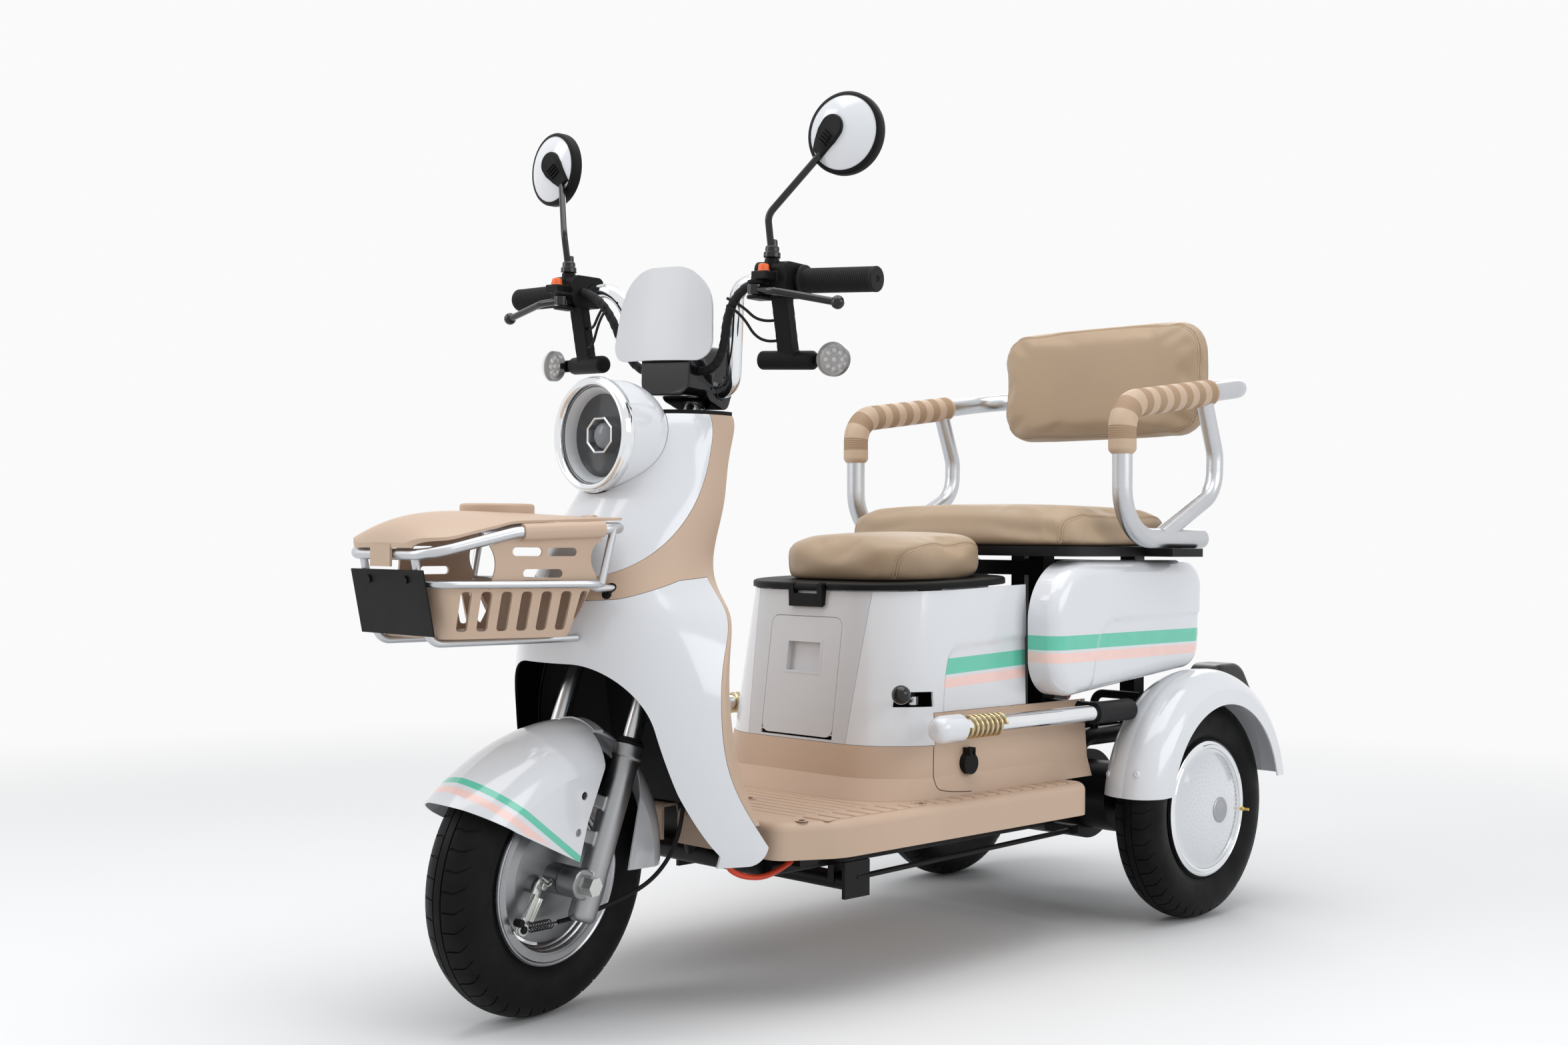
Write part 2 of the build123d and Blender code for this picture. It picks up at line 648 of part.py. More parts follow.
lean = math.degrees(math.atan2(23, BASKET_RING_Z - 36 - LOOP_Z))
plate = Box(2, 160, 82)
for y in (-41, 41):
    plate += Pos(2, y, 29) * Rot(0, 90, 0) * Cylinder(5, 3)
plate_x = RING_FRONT - 6.9
put("front_plate", Pos(plate_x, 0, 547) * Rot(0, lean, 0) * plate)

# Floor board
floor_rear = POST_FRONT_X + 48
floor_points = [
    (floor_rear, -FLOOR_HALF), (FX - 330, -FLOOR_HALF), (FX - 247, -214),
    (FX - 247, 214), (FX - 330, FLOOR_HALF), (floor_rear, FLOOR_HALF),
]
floor_radii = [30, 90, 30, 30, 90, 30]
floor_face = rounded_polygon(floor_points, floor_radii)
floor_outer = extrude(Pos(0, 0, FLOOR_LIP) * floor_face, amount=FLOOR_TOP - FLOOR_LIP)
floor_outer = fillet(floor_outer.edges().group_by(Axis.Z)[-1], 12)
floor_inner = offset(floor_face, amount=-4, kind=Kind.INTERSECTION)
floor_board = floor_outer - extrude(Pos(0, 0, FLOOR_LIP) * floor_inner, amount=FLOOR_TOP - FLOOR_LIP - 4)
floor_board -= bar_between((FX - 300, -TUBE / 2 - 1.5, 190), (FX, TUBE / 2 + 1.5, 300))

# The battery lead leaves through a hole in the floor's front lip and hangs in a loop
lead = [
    (FX - 262, 166, FLOOR_TOP - 8.2), (FX - 240, 166, 226), (FX - 206, 166, 215), (FX - 200, 166, 192),
    (FX - 232, 166, 174), (FX - 286, 166, 168), (FX - 325, 166, 185.3),
]
lead_bends = easy_bends("battery lead", lead)
put("floor_board", floor_board - rod(lead, 9, lead_bends))

# Seat box: tan base, white front and sides
BOX_REAR = 100
BASE_END = POST_FRONT_X - 14
SIDE_END = 366
BUMPER_CUT_X = BOX_FRONT - 95
BUMPER_CUT_Z = 374


def box_ring(levels, wall):
    sections = []
    for z, front, half, corner in levels:
        length = front - BOX_REAR
        outline = RectangleRounded(length - 2 * wall, 2 * (half - wall), corner - wall)
        sections.append(Pos((front + BOX_REAR) / 2, 0, z) * outline)
    return loft(sections, ruled=True)


base_levels = [
    (FLOOR_TOP + 0.2, BOX_FRONT + 30, BOX_HALF + 14, BOX_CORNER + 12),
    (FLOOR_TOP + 30, BOX_FRONT + 9, BOX_HALF + 4, BOX_CORNER + 3),
    (BOX_SEAM, BOX_FRONT, BOX_HALF, BOX_CORNER),
    (BUMPER_CUT_Z - SEAM, BOX_FRONT - 6, BOX_HALF - 1, BOX_CORNER),
]
panel_levels = [
    (BOX_SEAM - 5, BOX_FRONT - 1, BOX_HALF, BOX_CORNER),
    (BOX_TOP + 30, BOX_FRONT - 35, BOX_HALF - 6, BOX_CORNER + 18),
]
base = box_ring(base_levels, 0) - box_ring(base_levels, WALL)
base_keep = polygon([
    (BASE_END, 200), (BOX_FRONT + 60, 200), (BOX_FRONT + 60, BOX_SEAM), (BUMPER_CUT_X, BOX_SEAM),
    (BUMPER_CUT_X, BUMPER_CUT_Z - SEAM), (BASE_END, BUMPER_CUT_Z - SEAM),
])
base &= side_region(base_keep)
SOCKET_X = BOX_FRONT - 163
SOCKET_Z = 295
base -= pin_y(SOCKET_X, SOCKET_Z, 16.3, 150, 260)
base -= pin_y(POST_FRONT_X, BUMPER_Z, 15, -300, 300)
put("seat_box_base", base)

slope = math.tan(math.radians(SEAT_TILT))
panel_keep = polygon([
    (SIDE_END, BUMPER_CUT_Z), (BUMPER_CUT_X + SEAM, BUMPER_CUT_Z), (BUMPER_CUT_X + SEAM, BOX_SEAM + SEAM),
    (BOX_FRONT + 60, BOX_SEAM + SEAM), (BOX_FRONT + 60, BOX_TOP - 3.5), (SIDE_END, BOX_TOP + 258 * slope),
])
panels = (box_ring(panel_levels, 0) - box_ring(panel_levels, WALL)) & side_region(panel_keep)
front_plan = Plane((500, 0, 0), x_dir=(0, 1, 0), z_dir=(1, 0, 0))
seams = polygon([(-102, BOX_SEAM), (102, BOX_SEAM), (120, BOX_TOP + 20), (-120, BOX_TOP + 20)])
front_zone = extrude(front_plan * seams, amount=260)
seams_wide = polygon([
    (-102 - SEAM, BOX_SEAM), (102 + SEAM, BOX_SEAM), (120 + SEAM, BOX_TOP + 20), (-120 - SEAM, BOX_TOP + 20),
])
door_face = Pos(0, (DOOR_LOW + DOOR_HIGH) / 2) * RectangleRounded(2 * DOOR_HALF, DOOR_HIGH - DOOR_LOW, 14)
door_zone = extrude(front_plan * door_face, amount=260)
opening = offset(door_face, amount=0.8)
opening = opening + Pos(0, DOOR_LOW + 4) * Rectangle(2 * DOOR_HALF + 1.6, 14)
box_front = (panels & front_zone) - extrude(front_plan * opening, amount=260)
door = panels & door_zone
face_lean = math.degrees(math.atan2(34, BOX_TOP + 35 - BOX_SEAM))
pull_x = BOX_FRONT - 1 - (450 - BOX_SEAM + 5) * math.tan(math.radians(face_lean))
pull = Pos(pull_x - 6, 0, 450) * Rot(0, -face_lean, 0)
door += pull * Box(14, 76, 52)
door = door - pull * Pos(3, 0, 0) * Box(14, 68, 44)
door &= panels + pull * Box(13, 80, 60)
DOOR_PIN_Z = DOOR_LOW + 4
panel_rise = (DOOR_PIN_Z - panel_levels[0][0]) / (panel_levels[1][0] - panel_levels[0][0])
DOOR_PIN_X = panel_levels[0][1] + panel_rise * (panel_levels[1][1] - panel_levels[0][1]) - WALL / 2
door += pin_y(DOOR_PIN_X, DOOR_PIN_Z, 1.2, -DOOR_HALF - 5, DOOR_HALF + 5)
box_front -= pin_y(DOOR_PIN_X, DOOR_PIN_Z, 1.2 + RUN, -DOOR_HALF - 6, DOOR_HALF + 6)
box_sides = panels - extrude(front_plan * seams_wide, amount=260)

# Parking lever slot in the left side panel
LEVER_X = BOX_FRONT - 65
LEVER_Z = 394
slot = Pos(LEVER_X, 190, LEVER_Z) * Box(60, 60, 22)
box_sides -= slot
put("battery_door", door)
put("seat_box_sides", *box_sides.solids())
LEVER_PIN = (LEVER_X - 16, 164)
lever = rod([(*LEVER_PIN, LEVER_Z - 3), (LEVER_X + 52, 203, LEVER_Z + 11)], 9)
lever += Pos(LEVER_X + 56, 205.5, LEVER_Z + 12) * Sphere(14)
lever += Pos(*LEVER_PIN, LEVER_Z - 3) * Cylinder(9, 12)
lever -= Pos(*LEVER_PIN, LEVER_Z - 3) * Cylinder(4 + RUN, 40)
put("park_lever", lever)
lever_mount = bar_between((LEVER_X - 30, 120, LEVER_Z - 22), (LEVER_X - 2, 174, LEVER_Z - 12))
lever_mount += Pos(*LEVER_PIN, LEVER_Z - 5) * Cylinder(4, 30)
lever_mount += bar_between((LEVER_X - 30, 112, FLOOR_TOP + 0.3), (LEVER_X - 2, 124, LEVER_Z - 12))
put("chassis_frame", lever_mount)

# Charge socket and its cap
socket = pin_y(SOCKET_X, SOCKET_Z, 16, BOX_HALF - 16, BOX_HALF + 8)
socket -= pin_y(SOCKET_X, SOCKET_Z, 11, BOX_HALF - 6, BOX_HALF + 20)
for x in (SOCKET_X - 5.5, SOCKET_X + 5.5):
    socket += bar_between((x - 1.5, BOX_HALF + 2, SOCKET_Z + 14), (x + 1.5, BOX_HALF + 15, SOCKET_Z + 24))
CAP_Y = BOX_HALF + 11.5
CAP_Z = SOCKET_Z + 20.5
socket += Pos(SOCKET_X, CAP_Y, CAP_Z) * Rot(0, 90, 0) * Cylinder(1.5, 12)
put("charge_socket", socket)
cap = pin_y(SOCKET_X, SOCKET_Z, 16, BOX_HALF + 8.4, BOX_HALF + 13)
cap -= bar_between((SOCKET_X - 7.5, BOX_HALF, SOCKET_Z + 12), (SOCKET_X + 7.5, BOX_HALF + 30, SOCKET_Z + 30))
cap += Pos(SOCKET_X, CAP_Y, CAP_Z) * Rot(0, 90, 0) * Cylinder(2.8, 7)
cap += bar_between((SOCKET_X - 3.5, CAP_Y - 1.6, SOCKET_Z + 10), (SOCKET_X + 3.5, CAP_Y + 1.5, CAP_Z))
cap -= Pos(SOCKET_X, CAP_Y, CAP_Z) * Rot(0, 90, 0) * Cylinder(1.5 + RUN, 30)
put("charge_cap", cap)

battery = bar_between((BOX_FRONT - 283, -108, FLOOR_TOP + 0.3), (BOX_FRONT - 93, 108, 470))
put("battery_pack", fillet(battery.edges().filter_by(Axis.Z), 10))
put("battery_pack", rod(lead, 8, lead_bends))

# Front seat on its tray, hinged at the front edge
TRAY_X = BOX_FRONT - 26
TRAY_Z = BOX_TOP + 1.5
tray_at = Pos(TRAY_X, 0, TRAY_Z) * Rot(0, SEAT_TILT, 0)
TRAY_LENGTH = 322
tray_plan = RectangleRounded(TRAY_LENGTH, 2 * BOX_HALF - 8, BOX_CORNER + 18)
tray = extrude(Pos(-TRAY_LENGTH / 2, 0, 0) * tray_plan, amount=10)
tray = fillet(tray.edges().group_by(Axis.Z)[-1], 4)
tray += pin_y(-1, 4, 6, -24, 24)
tray -= pin_y(-1, 4, 3 + RUN, -40, 40)
put("seat_tray", tray_at * tray)
hinge = pin_y(-1, 4, 3, -34, 34)
for side in (-1, 1):
    hinge += bar_between((-5, side * 30 - 5, -24), (6, side * 30 + 5, 9))
hinge += bar_between((2.8, -35, -26), (6, 35, -6))
notch = bar_between((-8, -37, -30), (9, 37, 30)) - pin_y(-1, 4, 6.4, -24.5, 24.5)
nodes["seat_tray"] = [nodes["seat_tray"][0] - tray_at * (notch - bar_between((-8, -24, -40), (9, 24, 40)))]
put("seat_box_front", box_front + tray_at * hinge)
front_cushion = cushion(238, 304, 54, 88, 13, 18)
put("front_seat_cushion", tray_at * Pos(-175, 0, 10.3) * front_cushion)

# Rear seat, armrests and backrest
seat_low = (-10, -REAR_SEAT_HALF, REAR_SEAT_Z)
seat_base = bar_between(seat_low, (REAR_SEAT_FRONT, REAR_SEAT_HALF, REAR_SEAT_Z + 16))
seat_base = fillet(seat_base.edges().filter_by(Axis.Z), 30)
for side in (-1, 1):
    tab = sorted((side * (REAR_SEAT_HALF - 20), side * (ARM_Y + 17)))
    tab_top = ARM_LOW - ARM_TUBE / 2 - 0.2
    seat_base += bar_between((28, tab[0], REAR_SEAT_Z), (120, tab[1], tab_top))
put("rear_seat_base", seat_base)
rear_cushion = cushion(REAR_SEAT_FRONT - 3, 2 * REAR_SEAT_HALF, 50, 66, 14, 18)
put("rear_seat_cushion", Pos((REAR_SEAT_FRONT - 3) / 2, 0, REAR_SEAT_Z + 16.3) * rear_cushion)

ARM_FRONT = 240
ARM_REAR = -150
ARM_BACK_Z = 900
arm_half = [
    (8, ARM_Y, ARM_LOW), (ARM_FRONT - 2, ARM_Y, ARM_LOW), (ARM_FRONT, ARM_Y, ARM_TOP),
    (ARM_REAR, ARM_Y, ARM_BACK_Z),
]
arm_other = [(x, -y, z) for x, y, z in reversed(arm_half)]
arm = rod(arm_half + arm_other, ARM_TUBE, [80, 46, 60, 60, 46, 80])
brace_points = [(128, ARM_Y, ARM_LOW + 4), (-34, ARM_Y, 714), (-36, ARM_Y, 778), (2, ARM_Y, 876)]
BRACE_BEND = 56
brace = rod(brace_points, ARM_TUBE - 4, BRACE_BEND)
for solid in both(brace):
    arm += solid
arm += bar_between((ARM_REAR - 4, -90, ARM_BACK_Z - 44), (ARM_REAR + 16.2, 90, ARM_BACK_Z + 30))
put("armrest_frame", arm)
rail_slope = (ARM_BACK_Z - ARM_TOP) / (ARM_REAR - ARM_FRONT)
sleeve_rear = (-22, ARM_Y, ARM_TOP + (-22 - ARM_FRONT) * rail_slope)
sleeve_points = [sleeve_rear, (ARM_FRONT, ARM_Y, ARM_TOP), (ARM_FRONT - 0.8, ARM_Y, ARM_TOP - 78)]
pad = sleeve(sleeve_points, ARM_TUBE + 13, ARM_TUBE + 0.5, 46)
pad -= rod(brace_points, ARM_TUBE - 3, BRACE_BEND)
put("armrest_sleeves", *both(pad.solids().sort_by(SortBy.VOLUME)[-1]))
back = cushion(214, 448, 34, 58, 9, 14)
back_at = Pos(ARM_REAR + 16.6, 0, 920) * Rot(0, 90, 0)
put("backrest_cushion", back_at * back)

# Bumpers
tube_front = 634
bumper = rod([(tube_front, BUMPER_Y, BUMPER_Z), (POST_FRONT_X - 60, BUMPER_Y, BUMPER_Z)], BUMPER_TUBE)
put("bumper_tubes", *both(bumper))
cap_r = BUMPER_TUBE / 2 + 7
cap_seat = tube_front + 0.4 - 596
end_cap = lathe(
    Polyline((BUMPER_TUBE / 2 + 0.2, 0), (cap_r, 0), (cap_r, 40)),
    cap_arc(cap_r, 40, 18),
    Polyline((0, 58), (0, cap_seat), (BUMPER_TUBE / 2 + 0.2, cap_seat), (BUMPER_TUBE / 2 + 0.2, 0)),
)
put("bumper_tubes", *both(Pos(596, BUMPER_Y, BUMPER_Z) * along_x(end_cap)))
SPRING_WIRE = 4
spring_radius = BUMPER_TUBE / 2 + SPRING_WIRE / 2 + 0.4
coil = helix_rod(spring_radius, 11.5, 7, SPRING_WIRE)
put("bumper_springs", *both(Pos(503, BUMPER_Y, BUMPER_Z) * coil))

# Rear covers
pod_points = [(376, 381), (379, POD_TOP), (-52, POD_TOP), (-44, 420)]
pod_radii = [58, 96, 46, 42]
pod_face = rounded_polygon(pod_points, pod_radii)
side_plane = Plane((0, POD_INNER, 0), x_dir=(1, 0, 0), z_dir=(0, -1, 0))
pod = extrude(side_plane * pod_face, amount=-(POD_OUTER - POD_INNER))
pod = fillet(pod.edges().group_by(Axis.Y)[-1], 26)
pod_inside = offset(pod_face, amount=-WALL)
hollow = extrude(side_plane * pod_inside, amount=-(POD_OUTER - POD_INNER - WALL))
hollow = fillet(hollow.edges().group_by(Axis.Y)[-1], 24)
pod -= hollow
pod += bar_between((POST_FRONT_X - 12, POST_Y + 15.3, 470), (POST_FRONT_X + 12, POD_OUTER - 2, 500))
pod += bar_between((POST_REAR_X + 8, POST_Y + 15.3, 470), (POST_REAR_X + 14, POD_OUTER - 2, 500))
put("rear_covers", *both(pod))

# Rear fenders
def fender_section():
    y = TRACK_HALF
    t = 2.5
    rise = [
        Line((198, y - 31), (206, y - 31)),
        ThreePointArc((206, y - 31), (216, y - 14), (220, y + 12)),
        ThreePointArc((220, y + 12), (212, y + 52), (190, y + 70)),
        Line((190, y + 70), (165, y + 73)),
        Line((165, y + 73), (165, y + 73 - t)),
        Line((165, y + 73 - t), (189, y + 70 - t)),
        ThreePointArc((189, y + 70 - t), (210, y + 50.5), (220 - t, y + 12)),
        ThreePointArc((220 - t, y + 12), (213.8, y - 12.6), (205, y - 31 + t)),
        Line((205, y - 31 + t), (198, y - 31 + t)),
        Line((198, y - 31 + t), (198, y - 31)),
    ]
    return make_face(Curve() + rise)


fender = Pos(0, 0, REAR_FENDER_Z) * revolve(fender_section(), Axis.Y)
fender &= side_region(polygon([(-300, 226), (0, 232), (300, 216), (300, 600), (-300, 600)]))
put("rear_fenders", *both(fender))

# Tail lights
lamp_points = [(-140, 318), (-136, 414), (-232, 414), (TAIL_X, 348), (-262, 318)]
lamp_face = rounded_polygon(lamp_points, [16, 34, 46, 24, 16])
lamp_plane = Plane((0, 172, 0), x_dir=(1, 0, 0), z_dir=(0, -1, 0))
tail_light = extrude(lamp_plane * lamp_face, amount=-54)
tail_light = fillet(tail_light.edges().group_by(Axis.Y)[-1], 10)
put("tail_lights", *both(tail_light))

# Fork: crown, stem and stanchions in one piece
crown = Pos(8, 0, CROWN_UP + CROWN_HEIGHT / 2) * Box(60, 2 * LEG_SPACING + 40, CROWN_HEIGHT)
crown = fillet(crown.edges().filter_by(Axis.Z), 18)
stem_high = BAR_UP - BAR / 2 - 3
leg_low = BORE_LOW + FORK_TRAVEL + 8
leg_high = CROWN_UP + 20
crown += Pos(0, 0, (CROWN_UP + stem_high) / 2) * Cylinder(STEM / 2, stem_high - CROWN_UP)
for side in (-1, 1):
    leg_mid = (leg_low + leg_high) / 2
    crown += Pos(LEG_OFFSET, side * LEG_SPACING, leg_mid) * Cylinder(STANCHION / 2, leg_high - leg_low)
put("fork_tubes", steered(FORK * crown))

# Sliders with axle lugs and fender tabs
FRONT = Pos(WHEELBASE, 0, TYRE_RADIUS)
LUG_OUT = 12
FENDER_BOLTS = ((-1, 114), (7, 67))


def slider():
    at = Pos(LEG_OFFSET, LEG_SPACING, 0)
    body = at * Pos(0, 0, (SLIDER_TOP + SLIDER_BOTTOM) / 2) * Cylinder(SLIDER / 2, SLIDER_TOP - SLIDER_BOTTOM)
    body = fillet(body.edges().group_by(Axis.Z)[0], 8)
    body += at * Pos(0, 0, SLIDER_TOP - 8) * Cylinder(SLIDER / 2 + 2, 18)
    lug_low = LEG_SPACING - 20.5
    lug_high = LEG_SPACING + LUG_OUT
    body += pin_y(AXLE_OFFSET, 0, 20, lug_low, lug_high)
    body += bar_between((LEG_OFFSET, lug_low, -17), (AXLE_OFFSET, lug_high, 17))
    for ahead, up in FENDER_BOLTS:
        tab_end = AXLE_OFFSET + ahead * COS_RAKE + up * SIN_RAKE + 9
        tab_up = up * COS_RAKE - ahead * SIN_RAKE
        tab_low = (LEG_OFFSET + 10, FENDER_HALF - 8.3, tab_up - 9)
        body += bar_between(tab_low, (tab_end, FENDER_HALF - 2.8, tab_up + 9))
    bore_high = SLIDER_TOP + 20
    body -= at * Pos(0, 0, (BORE_LOW + bore_high) / 2) * Cylinder(STANCHION / 2 + RUN, bore_high - BORE_LOW)
    body -= pin_y(AXLE_OFFSET, 0, FRONT_AXLE_RADIUS + 0.03, 0, 200)
    return FORK * body


put("fork_sliders", *[steered(solid) for solid in both(slider())])

front_axle = Rot(-90, 0, 0) * Cylinder(FRONT_AXLE_RADIUS, 2 * (LEG_SPACING + LUG_OUT + 16))
for side in (-1, 1):
    nut = extrude(Plane.XZ * RegularPolygon(13, 6), amount=10, both=True)
    front_axle += Pos(0, side * (LEG_SPACING + LUG_OUT + 10.3), 0) * nut
put("front_brake_plate", steered(FRONT * front_axle))

# Front fender: a long nose struck from a low centre, joined to a shorter tail about the axle
def guard(crown, shoulder, drop, low):
    t = 2.5
    h = FENDER_HALF
    rise = ThreePointArc((crown - drop, h), (crown - shoulder, h * 0.62), (crown, 0))
    under = ThreePointArc((crown - t, 0), (crown - shoulder - 2, h * 0.62 - 1.5), (crown - drop, h - t))
    inner = Polyline((crown - drop, h - t), (low, h - t), (low, h), (crown - drop, h))
    side = lathe(rise, Line((crown, 0), (crown - t, 0)), under, inner)
    return side + mirror(side, Plane.XZ)


NOSE_X = -37
NOSE_Z = -132
nose = Pos(NOSE_X, 0, NOSE_Z) * guard(FENDER_CROWN - NOSE_Z - 7, 16, 58, 150)
tail = guard(FENDER_CROWN, 16, 58, 30)
nose_keep = polygon([
    (240, 135), (178, 112), (120, 82), (2, 28), (-10, 78), (-40, 150), (-52, 300), (240, 300),
])
tail_keep = polygon([(-124, 150), (-112, 80), (-98, 2), (-300, -10), (-300, 200), (-136, 190)])
bridge_keep = polygon([(-49, 120), (-49, 300), (-170, 300), (-170, 120)])
nose_bridge_keep = polygon([(-30, 120), (-30, 300), (-68, 300), (-68, 120)])
guard_body = nose & (side_region(nose_keep, 100) + side_region(nose_bridge_keep, 38))
guard_body += tail & (side_region(tail_keep, 100) + side_region(bridge_keep, 38))
for x, z in FENDER_BOLTS:
    guard_body -= pin_y(x, z, 5.5, -FENDER_HALF - 5, FENDER_HALF + 5)
put("front_fender", steered(FRONT * guard_body))

# Front wheel and drum brake
drum = lathe_points([(72, -10), (78, -10), (78, 12), (72, 12)])
front_rim = rim(FRONT_AXLE_RADIUS + RUN, 24, -40, 10, -14, -6, RIM_SEAT_RADIUS - 6) + drum
window = lathe_points([(80, -20), (RIM_SEAT_RADIUS - 8, -20), (RIM_SEAT_RADIUS - 8, 0), (80, 0)])
window &= Pos(100, 0, 0) * Box(120, 60, 74)
for i in range(5):
    front_rim -= Rot(0, 72 * i, 0) * window
put("front_tyre", steered(FRONT * tyre()))
put("front_wheel", steered(FRONT * front_rim))
hub_end = LEG_SPACING - 20.8
brake_plate = lathe_points([
    (FRONT_AXLE_RADIUS + 0.03, 11), (20, 11), (20, 15), (86, 15), (86, 17), (68, 20.5), (20, 23),
    (20, hub_end), (FRONT_AXLE_RADIUS + 0.03, hub_end),
])
CABLE_Y = 40
CAM = (40, -2)
brake_plate += pin_y(*CAM, 12, 16, 34)
brake_plate += pin_y(*CAM, 5, 30, 46)
put("front_brake_plate", steered(FRONT * brake_plate))
ARM_TURN = 32
ARM_LENGTH = 60
brake_arm = pin_y(0, 0, 10, 36, 42) + bar_between((-7, 36, -ARM_LENGTH), (7, 42, 0))
brake_arm += pin_y(0, -ARM_LENGTH, 8, 35, 45)
brake_arm -= pin_y(0, 0, 5 + RUN, 0, 80)
brake_arm = Pos(CAM[0], 0, CAM[1]) * Rot(0, -ARM_TURN, 0) * brake_arm
put("front_brake_arm", steered(FRONT * brake_arm))

# Brake cable: inner wire with its return spring, then the casing back past the slider foot to the liner
arm_end = Vector(
    WHEELBASE + CAM[0] + ARM_LENGTH * math.sin(math.radians(ARM_TURN)), CABLE_Y,
    TYRE_RADIUS + CAM[1] - ARM_LENGTH * math.cos(math.radians(ARM_TURN)),
)
wire_start = steered_point(arm_end - Vector(11, 0, 0))
casing_start = steered_point((WHEELBASE + 4, CABLE_Y, TYRE_RADIUS - 55))
casing = [
    casing_start, steered_point((WHEELBASE - 38, CABLE_Y + 4, TYRE_RADIUS - 54)),
    (FX - 118, 60, 148), (FX - 157, 76, 172), (FX - 185, 86, 215), (FX - 195, 88, 270),
    (FX - 206, 88, 322), (FX - 233.1, 88, 344),
]
cable = rod(casing, 6, easy_bends("front brake cable", casing)) + rod([wire_start, casing_start], 2.4)
put("front_brake_cable", cable)
wire_run = (casing_start - wire_start).normalized()
spring_face = wire_run.cross(Vector(0, 0, 1))
spring_place = Plane(origin=wire_start + wire_run * 2.2, x_dir=wire_run, z_dir=spring_face)
put("front_brake_cable", spring_place * helix_rod(6, 5, 8, 1.6))

# Handlebar, clamp and instruments
bar_low = STEER_FOOT + STEER_UP * BAR_UP
BAR_X = bar_low.X + 56.4
BAR_Z = bar_low.Z + 145.8
LOW_Y = 66
TOP_Y = 114
bar_right = [(BAR_X - 17, -336, BAR_Z - 4), (BAR_X, -TOP_Y, BAR_Z), (bar_low.X, -LOW_Y, bar_low.Z)]
bar_left = [(x, -y, z) for x, y, z in reversed(bar_right)]
put("handlebar", barred(rod(bar_right + bar_left, BAR, [36, 38, 38, 36])))
bar_run = Vector(*bar_left[2]) - Vector(*bar_left[1])
BAR_SIDE = Plane(origin=bar_left[1], x_dir=Vector(1, 0.08, 0), z_dir=bar_run)


def on_bar(solid):
    return barred(BAR_SIDE * solid)


def ring_on_bar(low, high, outside, inside):
    tube = Pos(0, 0, (low + high) / 2) * Cylinder(outside, high - low)
    return tube - Pos(0, 0, (low + high) / 2) * Cylinder(inside, high - low + 2)


clamp = Pos(2, 0, BAR_UP - 2) * Box(50, 88, 40)
clamp = fillet(clamp.edges().filter_by(Axis.Y), 12)
clamp = FORK * clamp
HOUSING_HALF = 46
front_box = bar_between(
    (bar_low.X + 20, -HOUSING_HALF, bar_low.Z - 9), (bar_low.X + 72, HOUSING_HALF, bar_low.Z + 62)
)
front_box = fillet(front_box.edges().filter_by(Axis.X), 20)
top_box = bar_between(
    (bar_low.X - 28, -HOUSING_HALF, bar_low.Z + 15), (bar_low.X + 40, HOUSING_HALF, bar_low.Z + 64)
)
top_box = fillet(top_box.edges().filter_by(Axis.X), 14)
housing = clamp + front_box + top_box
housing -= rod(bar_right + bar_left, BAR + 0.1, [36, 38, 38, 36])
housing -= FORK * Pos(0, 0, stem_high - 50) * Cylinder(STEM / 2 + 0.05, 101)
SCREEN_X = bar_low.X + 92.4
SCREEN_LOW = bar_low.Z + 38.8
SCREEN_HIGH = SCREEN_LOW + 132
SCREEN_LEAN = 6
SCREEN_RADIUS = 400
for side in (-1, 1):
    boss_y = side * (HOUSING_HALF - 12)
    boss_start = (bar_low.X + 66, boss_y, bar_low.Z + 50)
    housing += rod([boss_start, (SCREEN_X - 7.5, boss_y, bar_low.Z + 50)], 12)
put("instrument_housing", barred(housing))
screen_sheet = Cylinder(SCREEN_RADIUS, SCREEN_HIGH - SCREEN_LOW) - Cylinder(SCREEN_RADIUS - 3, 300)
screen_half = (SCREEN_HIGH - SCREEN_LOW) / 2
screen_face = rounded_polygon(
    [(-95, -screen_half), (95, -screen_half), (80, screen_half), (-80, screen_half)], [26, 26, 66, 66]
)
screen_keep = extrude(Plane.YZ * screen_face, amount=SCREEN_RADIUS + 20)
screen = Pos(-SCREEN_RADIUS, 0, screen_half) * (screen_sheet & screen_keep)
put("windscreen", barred(Pos(SCREEN_X, 0, SCREEN_LOW) * Rot(0, -SCREEN_LEAN, 0) * screen))

# Grips, switch housings, levers, buttons and mirrors, built on the left and mirrored
GRIP_LOW = 110
GRIP_HIGH = 226
grip = ring_on_bar(GRIP_LOW, GRIP_HIGH, 17, BAR / 2 + RUN)
grip += ring_on_bar(GRIP_LOW, GRIP_LOW + 5, 21, BAR / 2 + RUN)
put("left_grip", on_bar(grip))
put("throttle_grip", barred(mirror(BAR_SIDE * grip, Plane.XZ)))

HOUSING_LOW = 54
BUTTON_X = BAR_X + 42
BUTTON_Y = 196
BUTTON_TOP = BAR_Z + 9
HOUSING_HIGH = 106
switch = Pos(8, 0, (HOUSING_LOW + HOUSING_HIGH) / 2) * Box(58, 46, HOUSING_HIGH - HOUSING_LOW)
switch = BAR_SIDE * fillet(switch.edges().filter_by(Axis.Z), 10)
MIRROR_X = BAR_X + 22
MIRROR_Y = 193
MIRROR_Z = BAR_Z + 25.5
switch += Pos(MIRROR_X, MIRROR_Y, MIRROR_Z - 6) * Cylinder(10, 12)
PIVOT = (BAR_X + 44, 184)
PIVOT_Z = BAR_Z - 18
for level in (-10, 10):
    plate_z = PIVOT_Z + level
    tongue = bar_between((BAR_X + 20, PIVOT[1] - 11, plate_z - 2.5), (PIVOT[0], PIVOT[1] + 11, plate_z + 2.5))
    switch += tongue + Pos(*PIVOT, PIVOT_Z + level) * Cylinder(11, 5)
